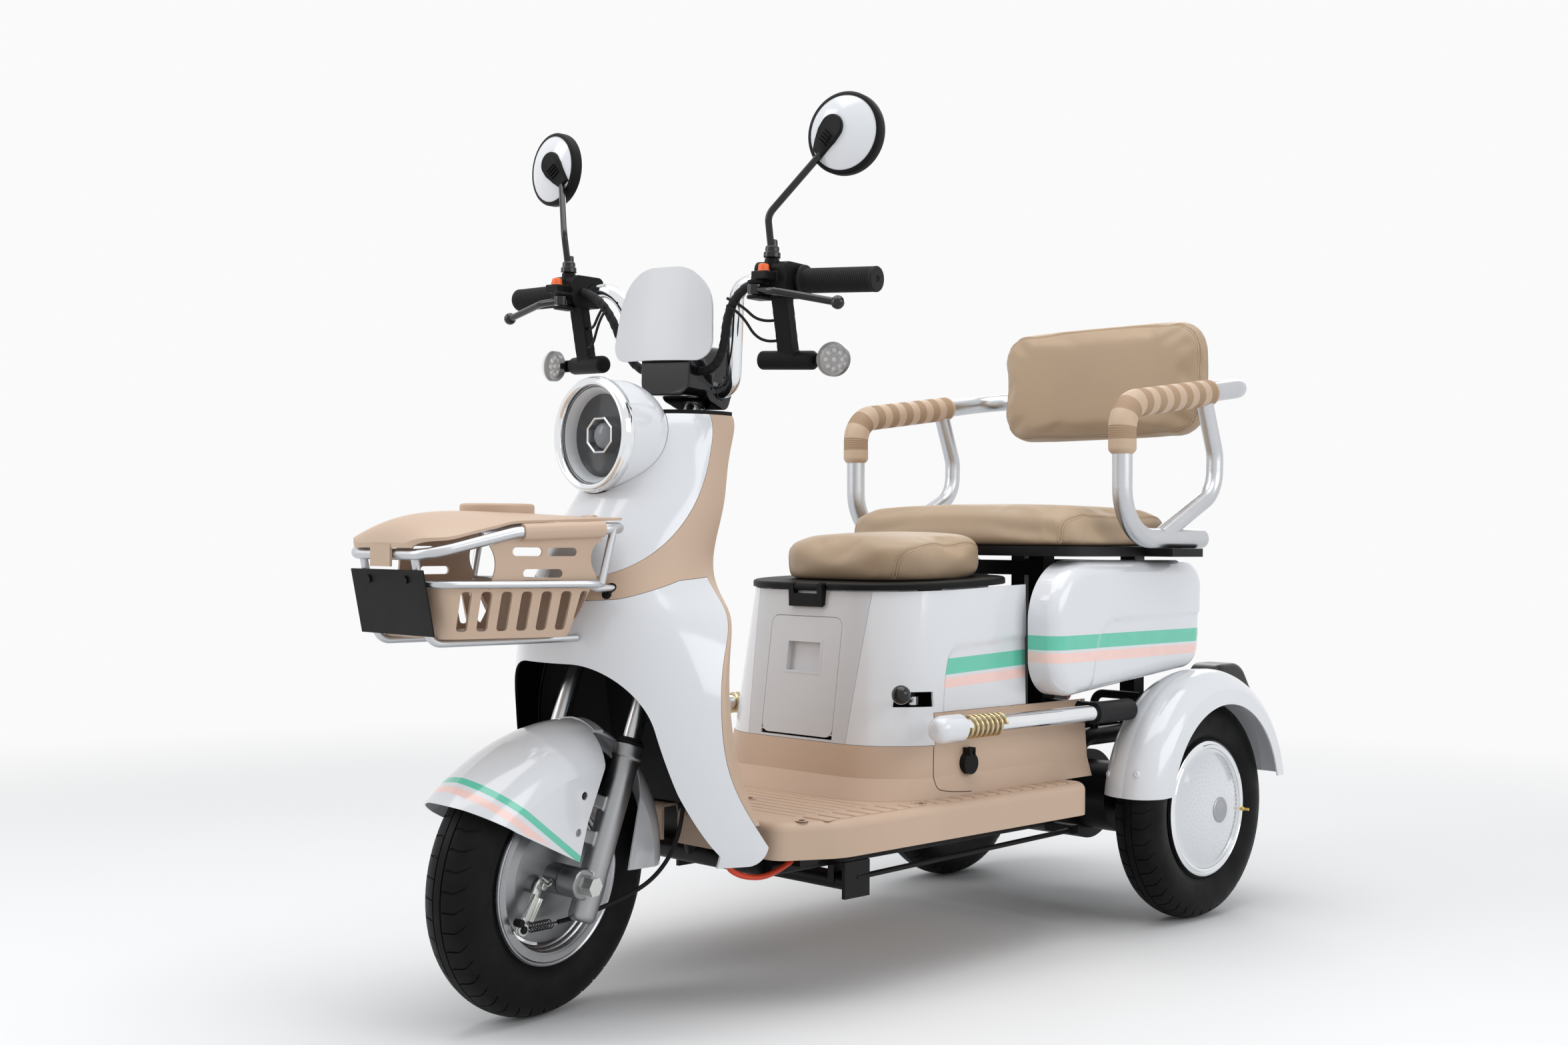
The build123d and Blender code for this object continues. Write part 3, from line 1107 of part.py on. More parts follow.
switch += Pos(*PIVOT, PIVOT_Z) * Cylinder(3, 24)
drop = bar_between((-8, -13, -42), (8, 13, 42))
switch += Pos(BAR_X - 12, MIRROR_Y, BAR_Z - 64) * Rot(0, 14, 0) * drop
arm_turn = math.degrees(math.atan2(24, 118))
lamp_at = Pos(BAR_X - 36, 264, BAR_Z - 106) * Rot(0, 0, arm_turn)
foot_bar = rod([(BAR_X - 14, 148, BAR_Z - 106), (BAR_X - 32, 232, BAR_Z - 106)], 26)
switch += fillet(foot_bar.edges(), 6)
switch += lamp_at * Pos(0, -13.5, 0) * Box(5, 47, 18)
button_seat = (BAR_X + 24, BUTTON_Y - 13, BAR_Z - 5.5)
switch += bar_between(button_seat, (BUTTON_X + 11, BUTTON_Y + 13, BUTTON_TOP - 3))
switch -= BAR_SIDE * Pos(0, 0, 60) * Cylinder(BAR / 2 + 0.05, 300)
switch -= Pos(BUTTON_X, BUTTON_Y, BUTTON_TOP + 8) * Cylinder(8.1, 40)
put("switch_housings", *[barred(solid) for solid in both(switch)])
button = Pos(BUTTON_X, BUTTON_Y, BUTTON_TOP - 5) * Cylinder(8, 9)
button_left = fillet(button.edges().group_by(Axis.Z)[-1], 2)
put("button_left", barred(button_left))
put("button_right", barred(mirror(button_left, Plane.XZ)))

lever_points = [
    (PIVOT[0], PIVOT[1], PIVOT_Z),
    (PIVOT[0] + 6, PIVOT[1] + 34, PIVOT_Z - 3),
    (BAR_X + 28, 310, PIVOT_Z - 20),
]
hand_lever = rod(lever_points, 10, 40) + Pos(*PIVOT, PIVOT_Z) * Cylinder(10, 13)
hand_lever += Pos(*lever_points[-1]) * Sphere(9)
hand_lever -= Pos(*PIVOT, PIVOT_Z) * Cylinder(3 + RUN, 40)
put("brake_lever_left", barred(hand_lever))
put("brake_lever_right", barred(mirror(hand_lever, Plane.XZ)))

lamp = lamp_at * Pos(2.8, 0, 0) * along_x(lathe(
    Polyline((0, 0), (20, 0), (23, 4), (23, 14)),
    cap_arc(23, 14, 9),
    Line((0, 23), (0, 0)),
))
put("signal_lamps", *[barred(solid) for solid in both(lamp)])

head_centre = (BAR_X - 20, 275, MIRROR_Z + 166)
stem_points = [
    (MIRROR_X, MIRROR_Y, MIRROR_Z + 1.6), (MIRROR_X + 12, MIRROR_Y, MIRROR_Z + 56),
    (BAR_X - 8, 246, MIRROR_Z + 140), (BAR_X - 14, 262, MIRROR_Z + 158),
]
mirror_stem = rod(stem_points, 10, [26, 20])
mirror_stem += Pos(MIRROR_X, MIRROR_Y, MIRROR_Z + 20.3) * Cone(12, 7, 40)
mirror_head = along_x(lathe(
    Polyline((0, -8), (53, -8), (55, -5), (55, 2)),
    cap_arc(55, 2, 16),
    Line((0, 18), (0, -8)),
))
mirror_left = mirror_stem + Pos(*head_centre) * Rot(0, 0, 8) * mirror_head
put("mirror_left", barred(mirror_left))
put("mirror_right", barred(mirror(mirror_left, Plane.XZ)))

# Cable bundles from the switch housings down beside the bar to the instruments
bundle = [
    (BAR_X + 16, TOP_Y + 51.4, BAR_Z - 3), (BAR_X + 20, TOP_Y + 4, BAR_Z - 14),
    (bar_low.X + 48, LOW_Y + 20, bar_low.Z + 26), (bar_low.X + 48, HOUSING_HALF + 0.4, bar_low.Z + 26),
]
put("handlebar_cables", *[barred(solid) for solid in both(rod(bundle, 13, [34, 16]))])

os.makedirs("parts", exist_ok=True)
for name, solids in nodes.items():
    pieces = [Pos(-ORIGIN_X, 0, 0) * solid for solid in solids]
    flat = [solid for piece in pieces for solid in piece.solids()]
    export_step(Compound(children=flat) if len(flat) > 1 else flat[0], f"parts/{name}.step")
print("nodes", len(nodes))
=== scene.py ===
import cmath
import math

import bmesh
import bpy
from mathutils import Matrix, Vector
from mathutils.bvhtree import BVHTree
from mathutils.kdtree import KDTree


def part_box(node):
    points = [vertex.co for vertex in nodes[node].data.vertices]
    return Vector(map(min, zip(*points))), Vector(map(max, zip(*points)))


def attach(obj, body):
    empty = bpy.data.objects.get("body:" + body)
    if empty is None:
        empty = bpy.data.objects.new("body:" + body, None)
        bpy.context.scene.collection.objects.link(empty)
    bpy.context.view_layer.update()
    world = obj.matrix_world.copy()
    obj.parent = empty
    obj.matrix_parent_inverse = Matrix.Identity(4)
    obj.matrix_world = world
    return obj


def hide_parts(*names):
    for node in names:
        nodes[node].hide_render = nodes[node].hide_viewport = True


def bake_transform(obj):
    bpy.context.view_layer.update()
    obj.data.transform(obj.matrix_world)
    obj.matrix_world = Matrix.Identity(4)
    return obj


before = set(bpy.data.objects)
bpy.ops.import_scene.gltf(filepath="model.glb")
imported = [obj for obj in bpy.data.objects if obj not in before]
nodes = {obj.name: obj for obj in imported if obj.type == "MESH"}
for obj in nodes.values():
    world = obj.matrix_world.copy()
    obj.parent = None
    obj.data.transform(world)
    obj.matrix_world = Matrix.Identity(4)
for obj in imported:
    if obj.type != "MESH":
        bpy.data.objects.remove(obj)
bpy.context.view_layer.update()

# Looks of an electric tricycle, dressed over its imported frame.
# Stations are millimetres from the rear axle, as in the part's source, and become metres in mesh_piece.

scene = bpy.context.scene


def at(x, y, z):
    return Matrix.Translation((x, y, z))


def spun(axis, degrees):
    return Matrix.Rotation(math.radians(degrees), 4, axis)


ORIGIN_X = 564.5
WHEELBASE = 1167
FX = WHEELBASE + 13
TYRE_RADIUS = 185
TRACK_HALF = 263
RAKE = math.radians(20)
TRAIL_BACK = 41
STEER_UP = Vector((-math.sin(RAKE), 0, math.cos(RAKE)))
STEER_AHEAD = Vector((math.cos(RAKE), 0, math.sin(RAKE)))
STEER_FOOT = Vector((WHEELBASE, 0, TYRE_RADIUS)) - TRAIL_BACK * STEER_AHEAD
STEM_LENGTH = 710
BAR_X = FX - 238
BAR_Z = 984
BAR_LOW = STEER_FOOT + STEER_UP * STEM_LENGTH


def about_steering(degrees):
    return at(*STEER_FOOT) @ spun(STEER_UP, degrees) @ at(*-STEER_FOOT)


WHEEL_REST = 10.5
BAR_REST = 6.5
STEERED = about_steering(WHEEL_REST)
BARRED = about_steering(BAR_REST)
FLIP = Matrix.Diagonal((1, -1, 1, 1))
SIDES = (("left", Matrix()), ("right", FLIP))


def row(point):
    # A station as a point in the frame
    return Vector(((point[0] - ORIGIN_X) / 1000, point[1] / 1000, point[2] / 1000))


def station(spot):
    # A point in the frame as a station
    return spot * 1000 + Vector((ORIGIN_X, 0, 0))


def polar(radius, turn):
    # A point on a circle, at a share of a full turn
    return radius * math.cos(2 * math.pi * turn), radius * math.sin(2 * math.pi * turn)


# Shapes: points with faces
def moved(shape, matrix):
    return [matrix @ Vector(p) for p in shape[0]], shape[1]


def joined(*shapes):
    points, faces = [], []
    for some_points, some_faces in shapes:
        base = len(points)
        points += some_points
        faces += [tuple(base + i for i in face) for face in some_faces]
    return points, faces


def banded(rows, count, closed=False):
    # Quads between rows of points that each run round a ring
    faces = []
    for k in range(rows if closed else rows - 1):
        here, there = k * count, (k + 1) % rows * count
        for i in range(count):
            j = (i + 1) % count
            faces.append((here + i, here + j, there + j, there + i))
    return faces


def lathe(profile, sides=96):
    # A profile of (radius, height) turned about Y
    points, faces, rings = [], [], []
    for radius, height in profile:
        if radius < 1e-6:
            rings.append([len(points)])
            points.append(Vector((0, height, 0)))
            continue
        rings.append(list(range(len(points), len(points) + sides)))
        for i in range(sides):
            x, z = polar(radius, i / sides)
            points.append(Vector((x, height, z)))
    for low, high in zip(rings, rings[1:]):
        for i in range(sides):
            j = (i + 1) % sides
            quad = [low[i % len(low)], low[j % len(low)], high[j % len(high)], high[i % len(high)]]
            quad = list(dict.fromkeys(quad))
            if len(quad) > 2:
                faces.append(tuple(quad))
    return points, faces


def frames_along(path):
    # Two cross directions at each point, turned as little as possible
    path = [Vector(p) for p in path]
    runs = [(b - a).normalized() for a, b in zip(path, path[1:])]
    heads = [runs[0]] + [(a + b).normalized() for a, b in zip(runs, runs[1:])] + [runs[-1]]
    seed = Vector((0, 0, 1)) if abs(heads[0].z) < 0.9 else Vector((1, 0, 0))
    across = (seed - heads[0] * seed.dot(heads[0])).normalized()
    out = []
    for point, head in zip(path, heads):
        across = (across - head * across.dot(head)).normalized()
        out.append((point, across, head.cross(across)))
    return out


def tube(path, radius, sides=20):
    # radius is a number, or a function of the length run and the angle
    points = []
    run, last = 0, None
    frames = frames_along(path)
    for point, across, other in frames:
        run += (point - last).length if last else 0
        last = point
        for i in range(sides):
            angle = 2 * math.pi * i / sides
            size = radius(run, angle) if callable(radius) else radius
            points.append(point + across * (size * math.cos(angle)) + other * (size * math.sin(angle)))
    faces = banded(len(frames), sides)
    faces.append(tuple(range(sides - 1, -1, -1)))
    faces.append(tuple((len(frames) - 1) * sides + i for i in range(sides)))
    return points, faces


def path_length(path):
    return sum((Vector(b) - Vector(a)).length for a, b in zip(path, path[1:]))


def resampled(path, step):
    # Points at an even spacing along a path
    path = [Vector(p) for p in path]
    total = path_length(path)
    count = max(2, round(total / step))
    out, k, done = [], 0, 0.0
    for i in range(count + 1):
        goal = total * i / count
        while k < len(path) - 2 and done + (path[k + 1] - path[k]).length < goal:
            done += (path[k + 1] - path[k]).length
            k += 1
        run = (path[k + 1] - path[k]).length
        out.append(path[k].lerp(path[k + 1], min(1.0, (goal - done) / run)))
    return out


def bent(points, radius, steps=10):
    # A formed metal tube's centre line: straight runs with an arc at each corner
    points = [Vector(p) for p in points]
    out = [points[0]]
    for before, corner, after in zip(points, points[1:], points[2:]):
        run_in = (corner - before).normalized()
        run_out = (after - corner).normalized()
        half = run_in.angle(run_out) / 2
        start = corner - run_in * (radius * math.tan(half))
        centre = start + (run_out - run_in * run_out.dot(run_in)).normalized() * radius
        spoke = start - centre
        for i in range(steps + 1):
            angle = 2 * half * i / steps
            out.append(centre + spoke * math.cos(angle) + run_in * (radius * math.sin(angle)))
    out.append(points[-1])
    return out


def spline(points):
    # A soft cable's line, read from a smooth curve with these control points
    curve = bpy.data.curves.new("route", "CURVE")
    curve.dimensions = "3D"
    curve.resolution_u = 12
    line = curve.splines.new("NURBS")
    line.points.add(len(points) - 1)
    for spot, point in zip(line.points, points):
        spot.co = (*point, 1)
    line.order_u = 3
    line.use_endpoint_u = True
    holder = bpy.data.objects.new("route", curve)
    mesh = bpy.data.meshes.new_from_object(holder)
    out = [v.co.copy() for v in mesh.vertices]
    bpy.data.objects.remove(holder)
    bpy.data.meshes.remove(mesh)
    bpy.data.curves.remove(curve)
    return out


def arc_through(a, b, c, steps):
    # Points from a over b to c on an arc of less than half a turn
    a, b, c = complex(*a), complex(*b), complex(*c)
    w = (c - a) / (b - a)
    centre = a - (a - b) * (w - abs(w) ** 2) / (2j * w.imag)
    sweep = cmath.phase((c - centre) / (a - centre))
    spots = [centre + (a - centre) * cmath.rect(1, sweep * i / steps) for i in range(steps + 1)]
    return [(spot.real, spot.imag) for spot in spots]


def dome(edge, rise, top):
    # The height of a round cap at a radius
    ball = (edge ** 2 + rise ** 2) / (2 * rise)
    return lambda radius: top - ball + math.sqrt(ball ** 2 - radius ** 2)


def half_round(radius, lift, steps):
    spots = [polar(radius, i / (2 * steps)) for i in range(steps + 1)]
    return [(x, lift + y) for x, y in spots]


def block(low, high, soft, steps=3):
    # A box with rounded edges
    mesh = bmesh.new()
    bmesh.ops.create_cube(mesh, size=1)
    middle = (Vector(low) + Vector(high)) / 2
    size = Vector(high) - Vector(low)
    for v in mesh.verts:
        v.co = Vector(a * b for a, b in zip(v.co, size)) + middle
    bmesh.ops.bevel(mesh, geom=mesh.edges, offset=soft, segments=steps, profile=0.5, affect="EDGES")
    shape = read_shape(mesh)
    mesh.free()
    return shape


def read_shape(work):
    work.verts.index_update()
    return [v.co.copy() for v in work.verts], [tuple(v.index for v in f.verts) for f in work.faces]


def plate(outline, thick, soft):
    # A flat outline in X and Z, standing out towards +Y, with an eased front edge
    outline = [Vector(p) for p in outline]
    count = len(outline)
    centre = sum(outline, Vector((0, 0))) / count
    points = []
    for depth, inset in ((0, 0), (thick - soft, 0), (thick - soft * 0.3, soft * 0.3), (thick, soft)):
        for k, corner in enumerate(outline):
            tangent = (outline[(k + 1) % count] - outline[k - 1]).normalized()
            inward = Vector((-tangent.y, tangent.x))
            if inward.dot(centre - corner) < 0:
                inward = -inward
            spot = corner + inward * inset
            points.append(Vector((spot.x, depth, spot.y)))
    faces = banded(4, count)
    faces.append(tuple(3 * count + i for i in range(count)))
    faces.append(tuple(range(count - 1, -1, -1)))
    return points, faces


def rounded(low, high, radius, steps=5):
    # The outline of a rectangle with round corners
    corners = ((high[0], high[1]), (low[0], high[1]), (low[0], low[1]), (high[0], low[1]))
    out = []
    for k, (x, y) in enumerate(corners):
        centre_x = x - math.copysign(radius, x - (low[0] + high[0]) / 2)
        centre_y = y - math.copysign(radius, y - (low[1] + high[1]) / 2)
        for i in range(steps + 1):
            along, up = polar(radius, (k + i / steps) / 4)
            out.append((centre_x + along, centre_y + up))
    return out


def screw(radius, height):
    # A domed screw head standing on Y with a round recess
    profile = ((0, 0.45), (0.4, 0.45), (0.44, 1), (0.62, 1), (0.9, 0.6), (1, 0.2), (1, 0))
    return lathe([(radius * r, height * h) for r, h in profile], 24)


def hex_bolt(radius, height):
    head = lathe([(0, height), (radius * 0.86, height), (radius, height * 0.8), (radius, 0)], 6)
    washer = lathe([(radius * 0.6, 1.2), (radius * 1.25, 1.2), (radius * 1.35, 0.6), (radius * 1.35, 0)], 32)
    return joined(head, washer)


def standing(place, facing):
    # Puts +Y along facing at a place
    return at(*place) @ Vector((0, 1, 0)).rotation_difference(Vector(facing)).to_matrix().to_4x4()


def attached(obj, body, node):
    if body:
        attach(obj, body)
    if node:
        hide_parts(node)


def mesh_piece(name, shape, finish, body="chassis", slot=None, replaces=None, sharp=32):
    mesh = bpy.data.meshes.new(name)
    mesh.from_pydata([row(p) for p in shape[0]], [], shape[1])
    work = bmesh.new()
    work.from_mesh(mesh)
    bmesh.ops.recalc_face_normals(work, faces=work.faces)
    work.to_mesh(mesh)
    work.free()
    mesh.shade_smooth()
    mesh.set_sharp_from_angle(angle=math.radians(sharp))
    obj = bpy.data.objects.new(name, mesh)
    scene.collection.objects.link(obj)
    finishes = finish if isinstance(finish, list) else [finish]
    for one in finishes:
        mesh.materials.append(one)
    attached(obj, body, replaces)
    return obj


def pair(name, shape, finish, body="chassis", place=Matrix(), local=Matrix(), slot=None, replaces="", sharp=32):
    # A piece on both sides; where one node holds both sides, the left piece stands for it
    pieces = []
    for side, flip in SIDES:
        node = replaces.format(side) if side == "left" or "{}" in replaces else None
        shape_here = moved(shape, place @ flip @ local)
        pieces.append(mesh_piece(f"{name}_{side}", shape_here, finish, body.format(side), slot, node, sharp))
    return pieces


# Finishes
def tone(*channels):
    # Screen colour, 0 to 255, as a linear colour
    out = []
    for c in channels:
        c /= 255
        out.append(c / 12.92 if c <= 0.04045 else ((c + 0.055) / 1.055) ** 2.4)
    return (*out, 1.0)


def shade(colour, factor):
    return (*[min(1.0, c * factor) for c in colour[:3]], 1.0)


def cleared(holder):
    # The emptied node tree of a material or of the world
    holder.use_nodes = True
    holder.node_tree.nodes.clear()
    return holder.node_tree


def fill(tree, node, inputs):
    # Sets a node's inputs, each by a value or by a link from another node
    for key, value in inputs.items():
        if isinstance(value, bpy.types.NodeSocket):
            tree.links.new(value, node.inputs[key])
        else:
            node.inputs[key].default_value = value


def add_node(tree, kind, inputs=None, **settings):
    node = tree.nodes.new("ShaderNode" + kind)
    for key, value in settings.items():
        setattr(node, key, value)
    fill(tree, node, inputs or {})
    return node


class Finish:
    # One procedural material, built up from noise in the object's own coordinates
    def __init__(self, name, rough, metal=0.0, shine=0.5):
        self.material = bpy.data.materials.new(name)
        self.tree = cleared(self.material)
        surface = {"Roughness": rough, "Metallic": metal, "Specular IOR Level": shine}
        self.shader = self.add("BsdfPrincipled", surface)
        self.add("OutputMaterial", {0: self.shader.outputs[0]})
        self.place = self.add("TexCoord").outputs["Object"]
        self.normal = None
        self.rough = rough

    def add(self, kind, inputs=None, **settings):
        return add_node(self.tree, kind, inputs, **settings)

    def give(self, inputs):
        fill(self.tree, self.shader, inputs)
        return self

    def noise(self, scale, detail=3.0):
        return self.add("TexNoise", {"Vector": self.place, "Scale": scale, "Detail": detail}).outputs["Fac"]

    def cells(self, scale):
        inputs = {"Vector": self.place, "Scale": scale}
        return self.add("TexVoronoi", inputs, feature="DISTANCE_TO_EDGE").outputs["Distance"]

    def ramp(self, source, low, high):
        # low and high are (position, colour)
        node = self.add("ValToRGB", {0: source})
        for stop, (position, colour) in zip(node.color_ramp.elements, (low, high)):
            stop.position, stop.color = position, colour
        return node.outputs[0]

    def spread(self, source, low, high, start, end):
        inputs = {"Value": source, "From Min": start, "From Max": end, "To Min": low, "To Max": high}
        return self.add("MapRange", inputs).outputs[0]

    def math(self, kind, a, b):
        return self.add("Math", {0: a, 1: b}, operation=kind).outputs[0]

    def mix(self, factor, a, b):
        return self.add("Mix", {0: factor, 6: a, 7: b}, data_type="RGBA").outputs[2]

    def colour(self, source):
        return self.give({"Base Color": source})

    def mottled(self, colour, vary, scale=5.0):
        # Slow unevenness of a moulded or painted surface
        soft = self.noise(scale, 4.0)
        return self.ramp(soft, (0.32, shade(colour, 1 - vary)), (0.68, shade(colour, 1 + vary)))

    def uneven_gloss(self, spread, scale=9.0):
        low, high = max(0.02, self.rough - spread), self.rough + spread
        return self.give({"Roughness": self.spread(self.noise(scale, 5.0), low, high, 0.3, 0.7)})

    def bump(self, height, strength, distance=0.0004):
        inputs = {"Height": height, "Strength": strength, "Distance": distance}
        if self.normal:
            inputs["Normal"] = self.normal
        self.normal = self.add("Bump", inputs).outputs[0]
        return self.give({"Normal": self.normal})

    def coat(self, weight, rough):
        return self.give({"Coat Weight": weight, "Coat Roughness": rough})

    def xyz(self, place=None):
        return self.add("SeparateXYZ", {0: place or self.place}).outputs

    def times(self, a, b):
        return self.math("MULTIPLY", a, b)

    def band(self, value, low, high):
        return self.times(self.math("GREATER_THAN", value, low), self.math("LESS_THAN", value, high))


def moulded(name, colour, rough, grain, grain_scale, vary, spread=0.06, shine=0.5):
    f = Finish(name, rough, 0.0, shine)
    f.colour(f.mottled(colour, vary)).uneven_gloss(spread)
    f.bump(f.noise(grain_scale, 2.0), grain)
    return f.material


def glossed(f, colour, gloss, gloss_scale, coat, coat_rough, ripple=160):
    # Paint with a clear coat over faint ripples
    f.colour(colour).uneven_gloss(gloss, gloss_scale).coat(coat, coat_rough)
    f.bump(f.noise(ripple, 2.0), 0.03)
    return f.material


def lacquer(name, colour, rough=0.16, vary=0.018, shine=0.5, coat=0.6):
    f = Finish(name, rough, 0.0, shine)
    return glossed(f, f.mottled(colour, vary, 3.0), 0.03, 6.0, coat, 0.05)


def metal(name, colour, rough, spread, grain, grain_scale, vary):
    f = Finish(name, rough, 1.0)
    f.colour(f.mottled(colour, vary, 11.0)).uneven_gloss(spread, 24.0)
    f.bump(f.noise(grain_scale), grain)
    return f.material


def clear(name, colour, alpha, rough):
    f = Finish(name, rough, 0.0, 1.0)
    f.colour(f.mottled(colour, 0.03, 20.0)).uneven_gloss(0.02, 30.0).give({"Alpha": alpha})
    f.bump(f.noise(90, 2.0), 0.02)
    return f.material


def leather(name, colour):
    # Fine pebble grain with faint stretch lines; the grain's creases are darkened as painted shade
    f = Finish(name, 0.47)
    # Painted shade: the colour darkens towards the edges of the grain cells, where the bump sinks
    crease_shade = f.spread(f.cells(760), 0.25, 0.0, 0.0, 0.12)
    f.colour(f.mix(crease_shade, f.mottled(colour, 0.05, 7.0), shade(colour, 0.8))).uneven_gloss(0.06, 14.0)
    f.bump(f.cells(760), 0.16, 0.0006).bump(f.noise(60, 4.0), 0.10, 0.0010)
    return f.give({"Sheen Weight": 0.05, "Sheen Roughness": 0.5}).material


WHITE = tone(222, 224, 228)
# White of the seat box front and battery door, toned down as painted shade under the leg shield
SHADED_PANEL = tone(203, 204, 207)
TAN = tone(197, 171, 149)
GREEN = tone(96, 200, 172)
PINK = tone(247, 209, 201)


def painted(f, green_mask, pink_mask):
    # White lacquer under a green and a pink stripe
    wash = f.noise(60)
    green = f.ramp(wash, (0.3, shade(GREEN, 0.97)), (0.7, shade(GREEN, 1.03)))
    pink = f.ramp(wash, (0.3, shade(PINK, 0.98)), (0.7, shade(PINK, 1.02)))
    plain = f.mottled(WHITE, 0.018, 3.0)
    return glossed(f, f.mix(pink_mask, f.mix(green_mask, plain, green), pink), 0.03, 6.0, 0.6, 0.05)


def striped(name, level, slope, wide, gap, pink_wide, end, lean=0.0):
    # Stripes along a side, from the rear to a front end that may lean
    f = Finish(name, 0.16)
    x, _, z = f.xyz()
    height = f.math("SUBTRACT", z, f.times(x, slope))
    front = f.times(f.math("SUBTRACT", z, level - wide / 2), lean)
    along = f.math("LESS_THAN", f.math("ADD", x, front), end)
    bands = ((level, wide), (level - wide - gap, pink_wide))
    return painted(f, *[f.times(f.band(height, top - size, top), along) for top, size in bands])


STRIPE_PITCH = 0.70
GREEN_BAND = (-0.2079, -0.1969)
PINK_BAND = (-0.2279, -0.2154)
PINK_END_PITCH, PINK_END = 0.427, -0.0399


def fender_striped():
    # Stripes on planes that turn with the front wheel, alike on both sides and on the outer face alone
    f = Finish("fender stripes", 0.16)
    turn = {"Vector": f.place, "Center": row(STEER_FOOT), "Axis": STEER_UP, "Angle": -math.radians(WHEEL_REST)}
    x, y, z = f.xyz(f.add("VectorRotate", turn, rotation_type="AXIS_ANGLE").outputs[0])
    lean = STEERED[2].xyz - STRIPE_PITCH * STEERED[0].xyz
    height = (STEERED[2].w - STRIPE_PITCH * STEERED[0].w + (lean.x + STRIPE_PITCH) * ORIGIN_X) / 1000
    for share, value in zip(lean, (x, f.math("ABSOLUTE", y, 0.0), z)):
        height = f.math("ADD", f.times(value, share), height)
    hub = row(STEERED @ Vector((WHEELBASE, 0, TYRE_RADIUS)))
    outward = f.add("VectorMath", {0: f.place, 1: hub}, operation="SUBTRACT").outputs[0]
    normal = f.add("NewGeometry").outputs["Normal"]
    facing = f.add("VectorMath", {0: outward, 1: normal}, operation="DOT_PRODUCT").outputs["Value"]
    outer = f.math("GREATER_THAN", facing, 0.0)
    taper = f.math("GREATER_THAN", f.math("SUBTRACT", z, f.times(x, PINK_END_PITCH)), PINK_END)
    green_mask = f.times(f.band(height, *GREEN_BAND), outer)
    return painted(f, green_mask, f.times(f.band(height, *PINK_BAND), f.times(taper, outer)))


LAMP_LENS_X = -0.818


def rear_lamp():
    # Dark housing with a red lens at its rear end
    f = Finish("rear lamp", 0.3, 0.0, 0.25)
    grid = f.cells(120)
    red = f.ramp(grid, (0.0, tone(96, 8, 10)), (0.4, tone(150, 16, 18)))
    at_rear = f.math("LESS_THAN", f.xyz()[0], LAMP_LENS_X)
    f.colour(f.mix(at_rear, f.mottled(tone(13, 13, 14), 0.1), red)).uneven_gloss(0.03).coat(0.2, 0.08)
    return f.bump(grid, 0.05, 0.0006).material


def rubber_tyre():
    f = Finish("tyre", 0.52, 0.0, 0.12)
    dust = f.ramp(f.noise(26, 5.0), (0.35, tone(12, 12, 13)), (0.72, tone(22, 22, 23)))
    f.colour(dust).uneven_gloss(0.08, 30.0)
    return f.bump(f.noise(900), 0.3, 0.0005).material


def screen_finish():
    f = Finish("windscreen", 0.34, 0.0, 0.3)
    return glossed(f, f.mottled(tone(206, 207, 210), 0.02, 3.0), 0.04, 8.0, 0.12, 0.1, 120)


white_gloss = lacquer("white gloss", WHITE)
# Matte moulded white, a little darker than the lacquer as painted shade
panel_white_painted_shade = moulded("panel white with painted shade", SHADED_PANEL, 0.34, 0.10, 1500, 0.015, 0.05)
tan_plastic = moulded("tan plastic", TAN, 0.46, 0.22, 1500, 0.03)
tan_floor = moulded("tan floor", TAN, 0.52, 0.3, 1100, 0.04, 0.07)
black_plastic = moulded("black plastic", tone(18, 18, 19), 0.48, 0.3, 1700, 0.12, 0.08, 0.13)
black_gloss = lacquer("black gloss", tone(15, 15, 17), 0.14, 0.1, 0.2, 0.5)
black_rubber = moulded("black rubber", tone(27, 27, 29), 0.6, 0.35, 1300, 0.12, 0.06, 0.2)
frame_black = moulded("frame black", tone(18, 18, 20), 0.42, 0.25, 600, 0.15, 0.1, 0.2)
silver_paint = metal("silver paint", tone(196, 198, 201), 0.33, 0.05, 0.12, 2600, 0.03)
chrome = metal("chrome", tone(232, 234, 236), 0.07, 0.03, 0.01, 300, 0.02)
steel = metal("steel", tone(190, 192, 194), 0.24, 0.08, 0.08, 500, 0.05)
cast_alloy = metal("cast alloy", tone(156, 157, 159), 0.38, 0.07, 0.3, 900, 0.05)
rim_alloy = metal("rim alloy", tone(172, 173, 176), 0.27, 0.07, 0.12, 900, 0.05)
gold_spring = metal("gold spring", tone(208, 188, 148), 0.18, 0.05, 0.04, 500, 0.06)
orange_plastic = moulded("orange plastic", tone(240, 104, 44), 0.4, 0.15, 1500, 0.05)
orange_lead = moulded("orange lead", tone(212, 66, 34), 0.45, 0.2, 1200, 0.08)
brass = metal("brass", tone(206, 172, 96), 0.28, 0.06, 0.1, 700, 0.08)
grey_disc = metal("grey disc", tone(168, 170, 174), 0.36, 0.06, 0.12, 1200, 0.04)
mirror_glass = metal("mirror glass", tone(236, 238, 240), 0.03, 0.01, 0.0, 200, 0.01)
dish_grey = metal("signal dish", tone(122, 124, 127), 0.3, 0.06, 0.1, 900, 0.05)
zinc = metal("zinc", tone(212, 214, 210), 0.2, 0.08, 0.06, 600, 0.06)
frosted = moulded("frosted ring", tone(206, 209, 213), 0.4, 0.08, 900, 0.03)
bowl_dark = lacquer("lamp bowl", tone(58, 59, 61), 0.3, 0.1, 0.2, 0.1)
seam_shadow = moulded("seam shadow", tone(96, 79, 65), 0.7, 0.1, 900, 0.05, 0.05, 0.2)
lens_clear = clear("clear lens", tone(120, 124, 128), 0.05, 0.04)
lens_ribbed = clear("ribbed lens", tone(232, 226, 220), 0.16, 0.08)
lens_projector = clear("projector lens", tone(170, 176, 182), 0.55, 0.03)
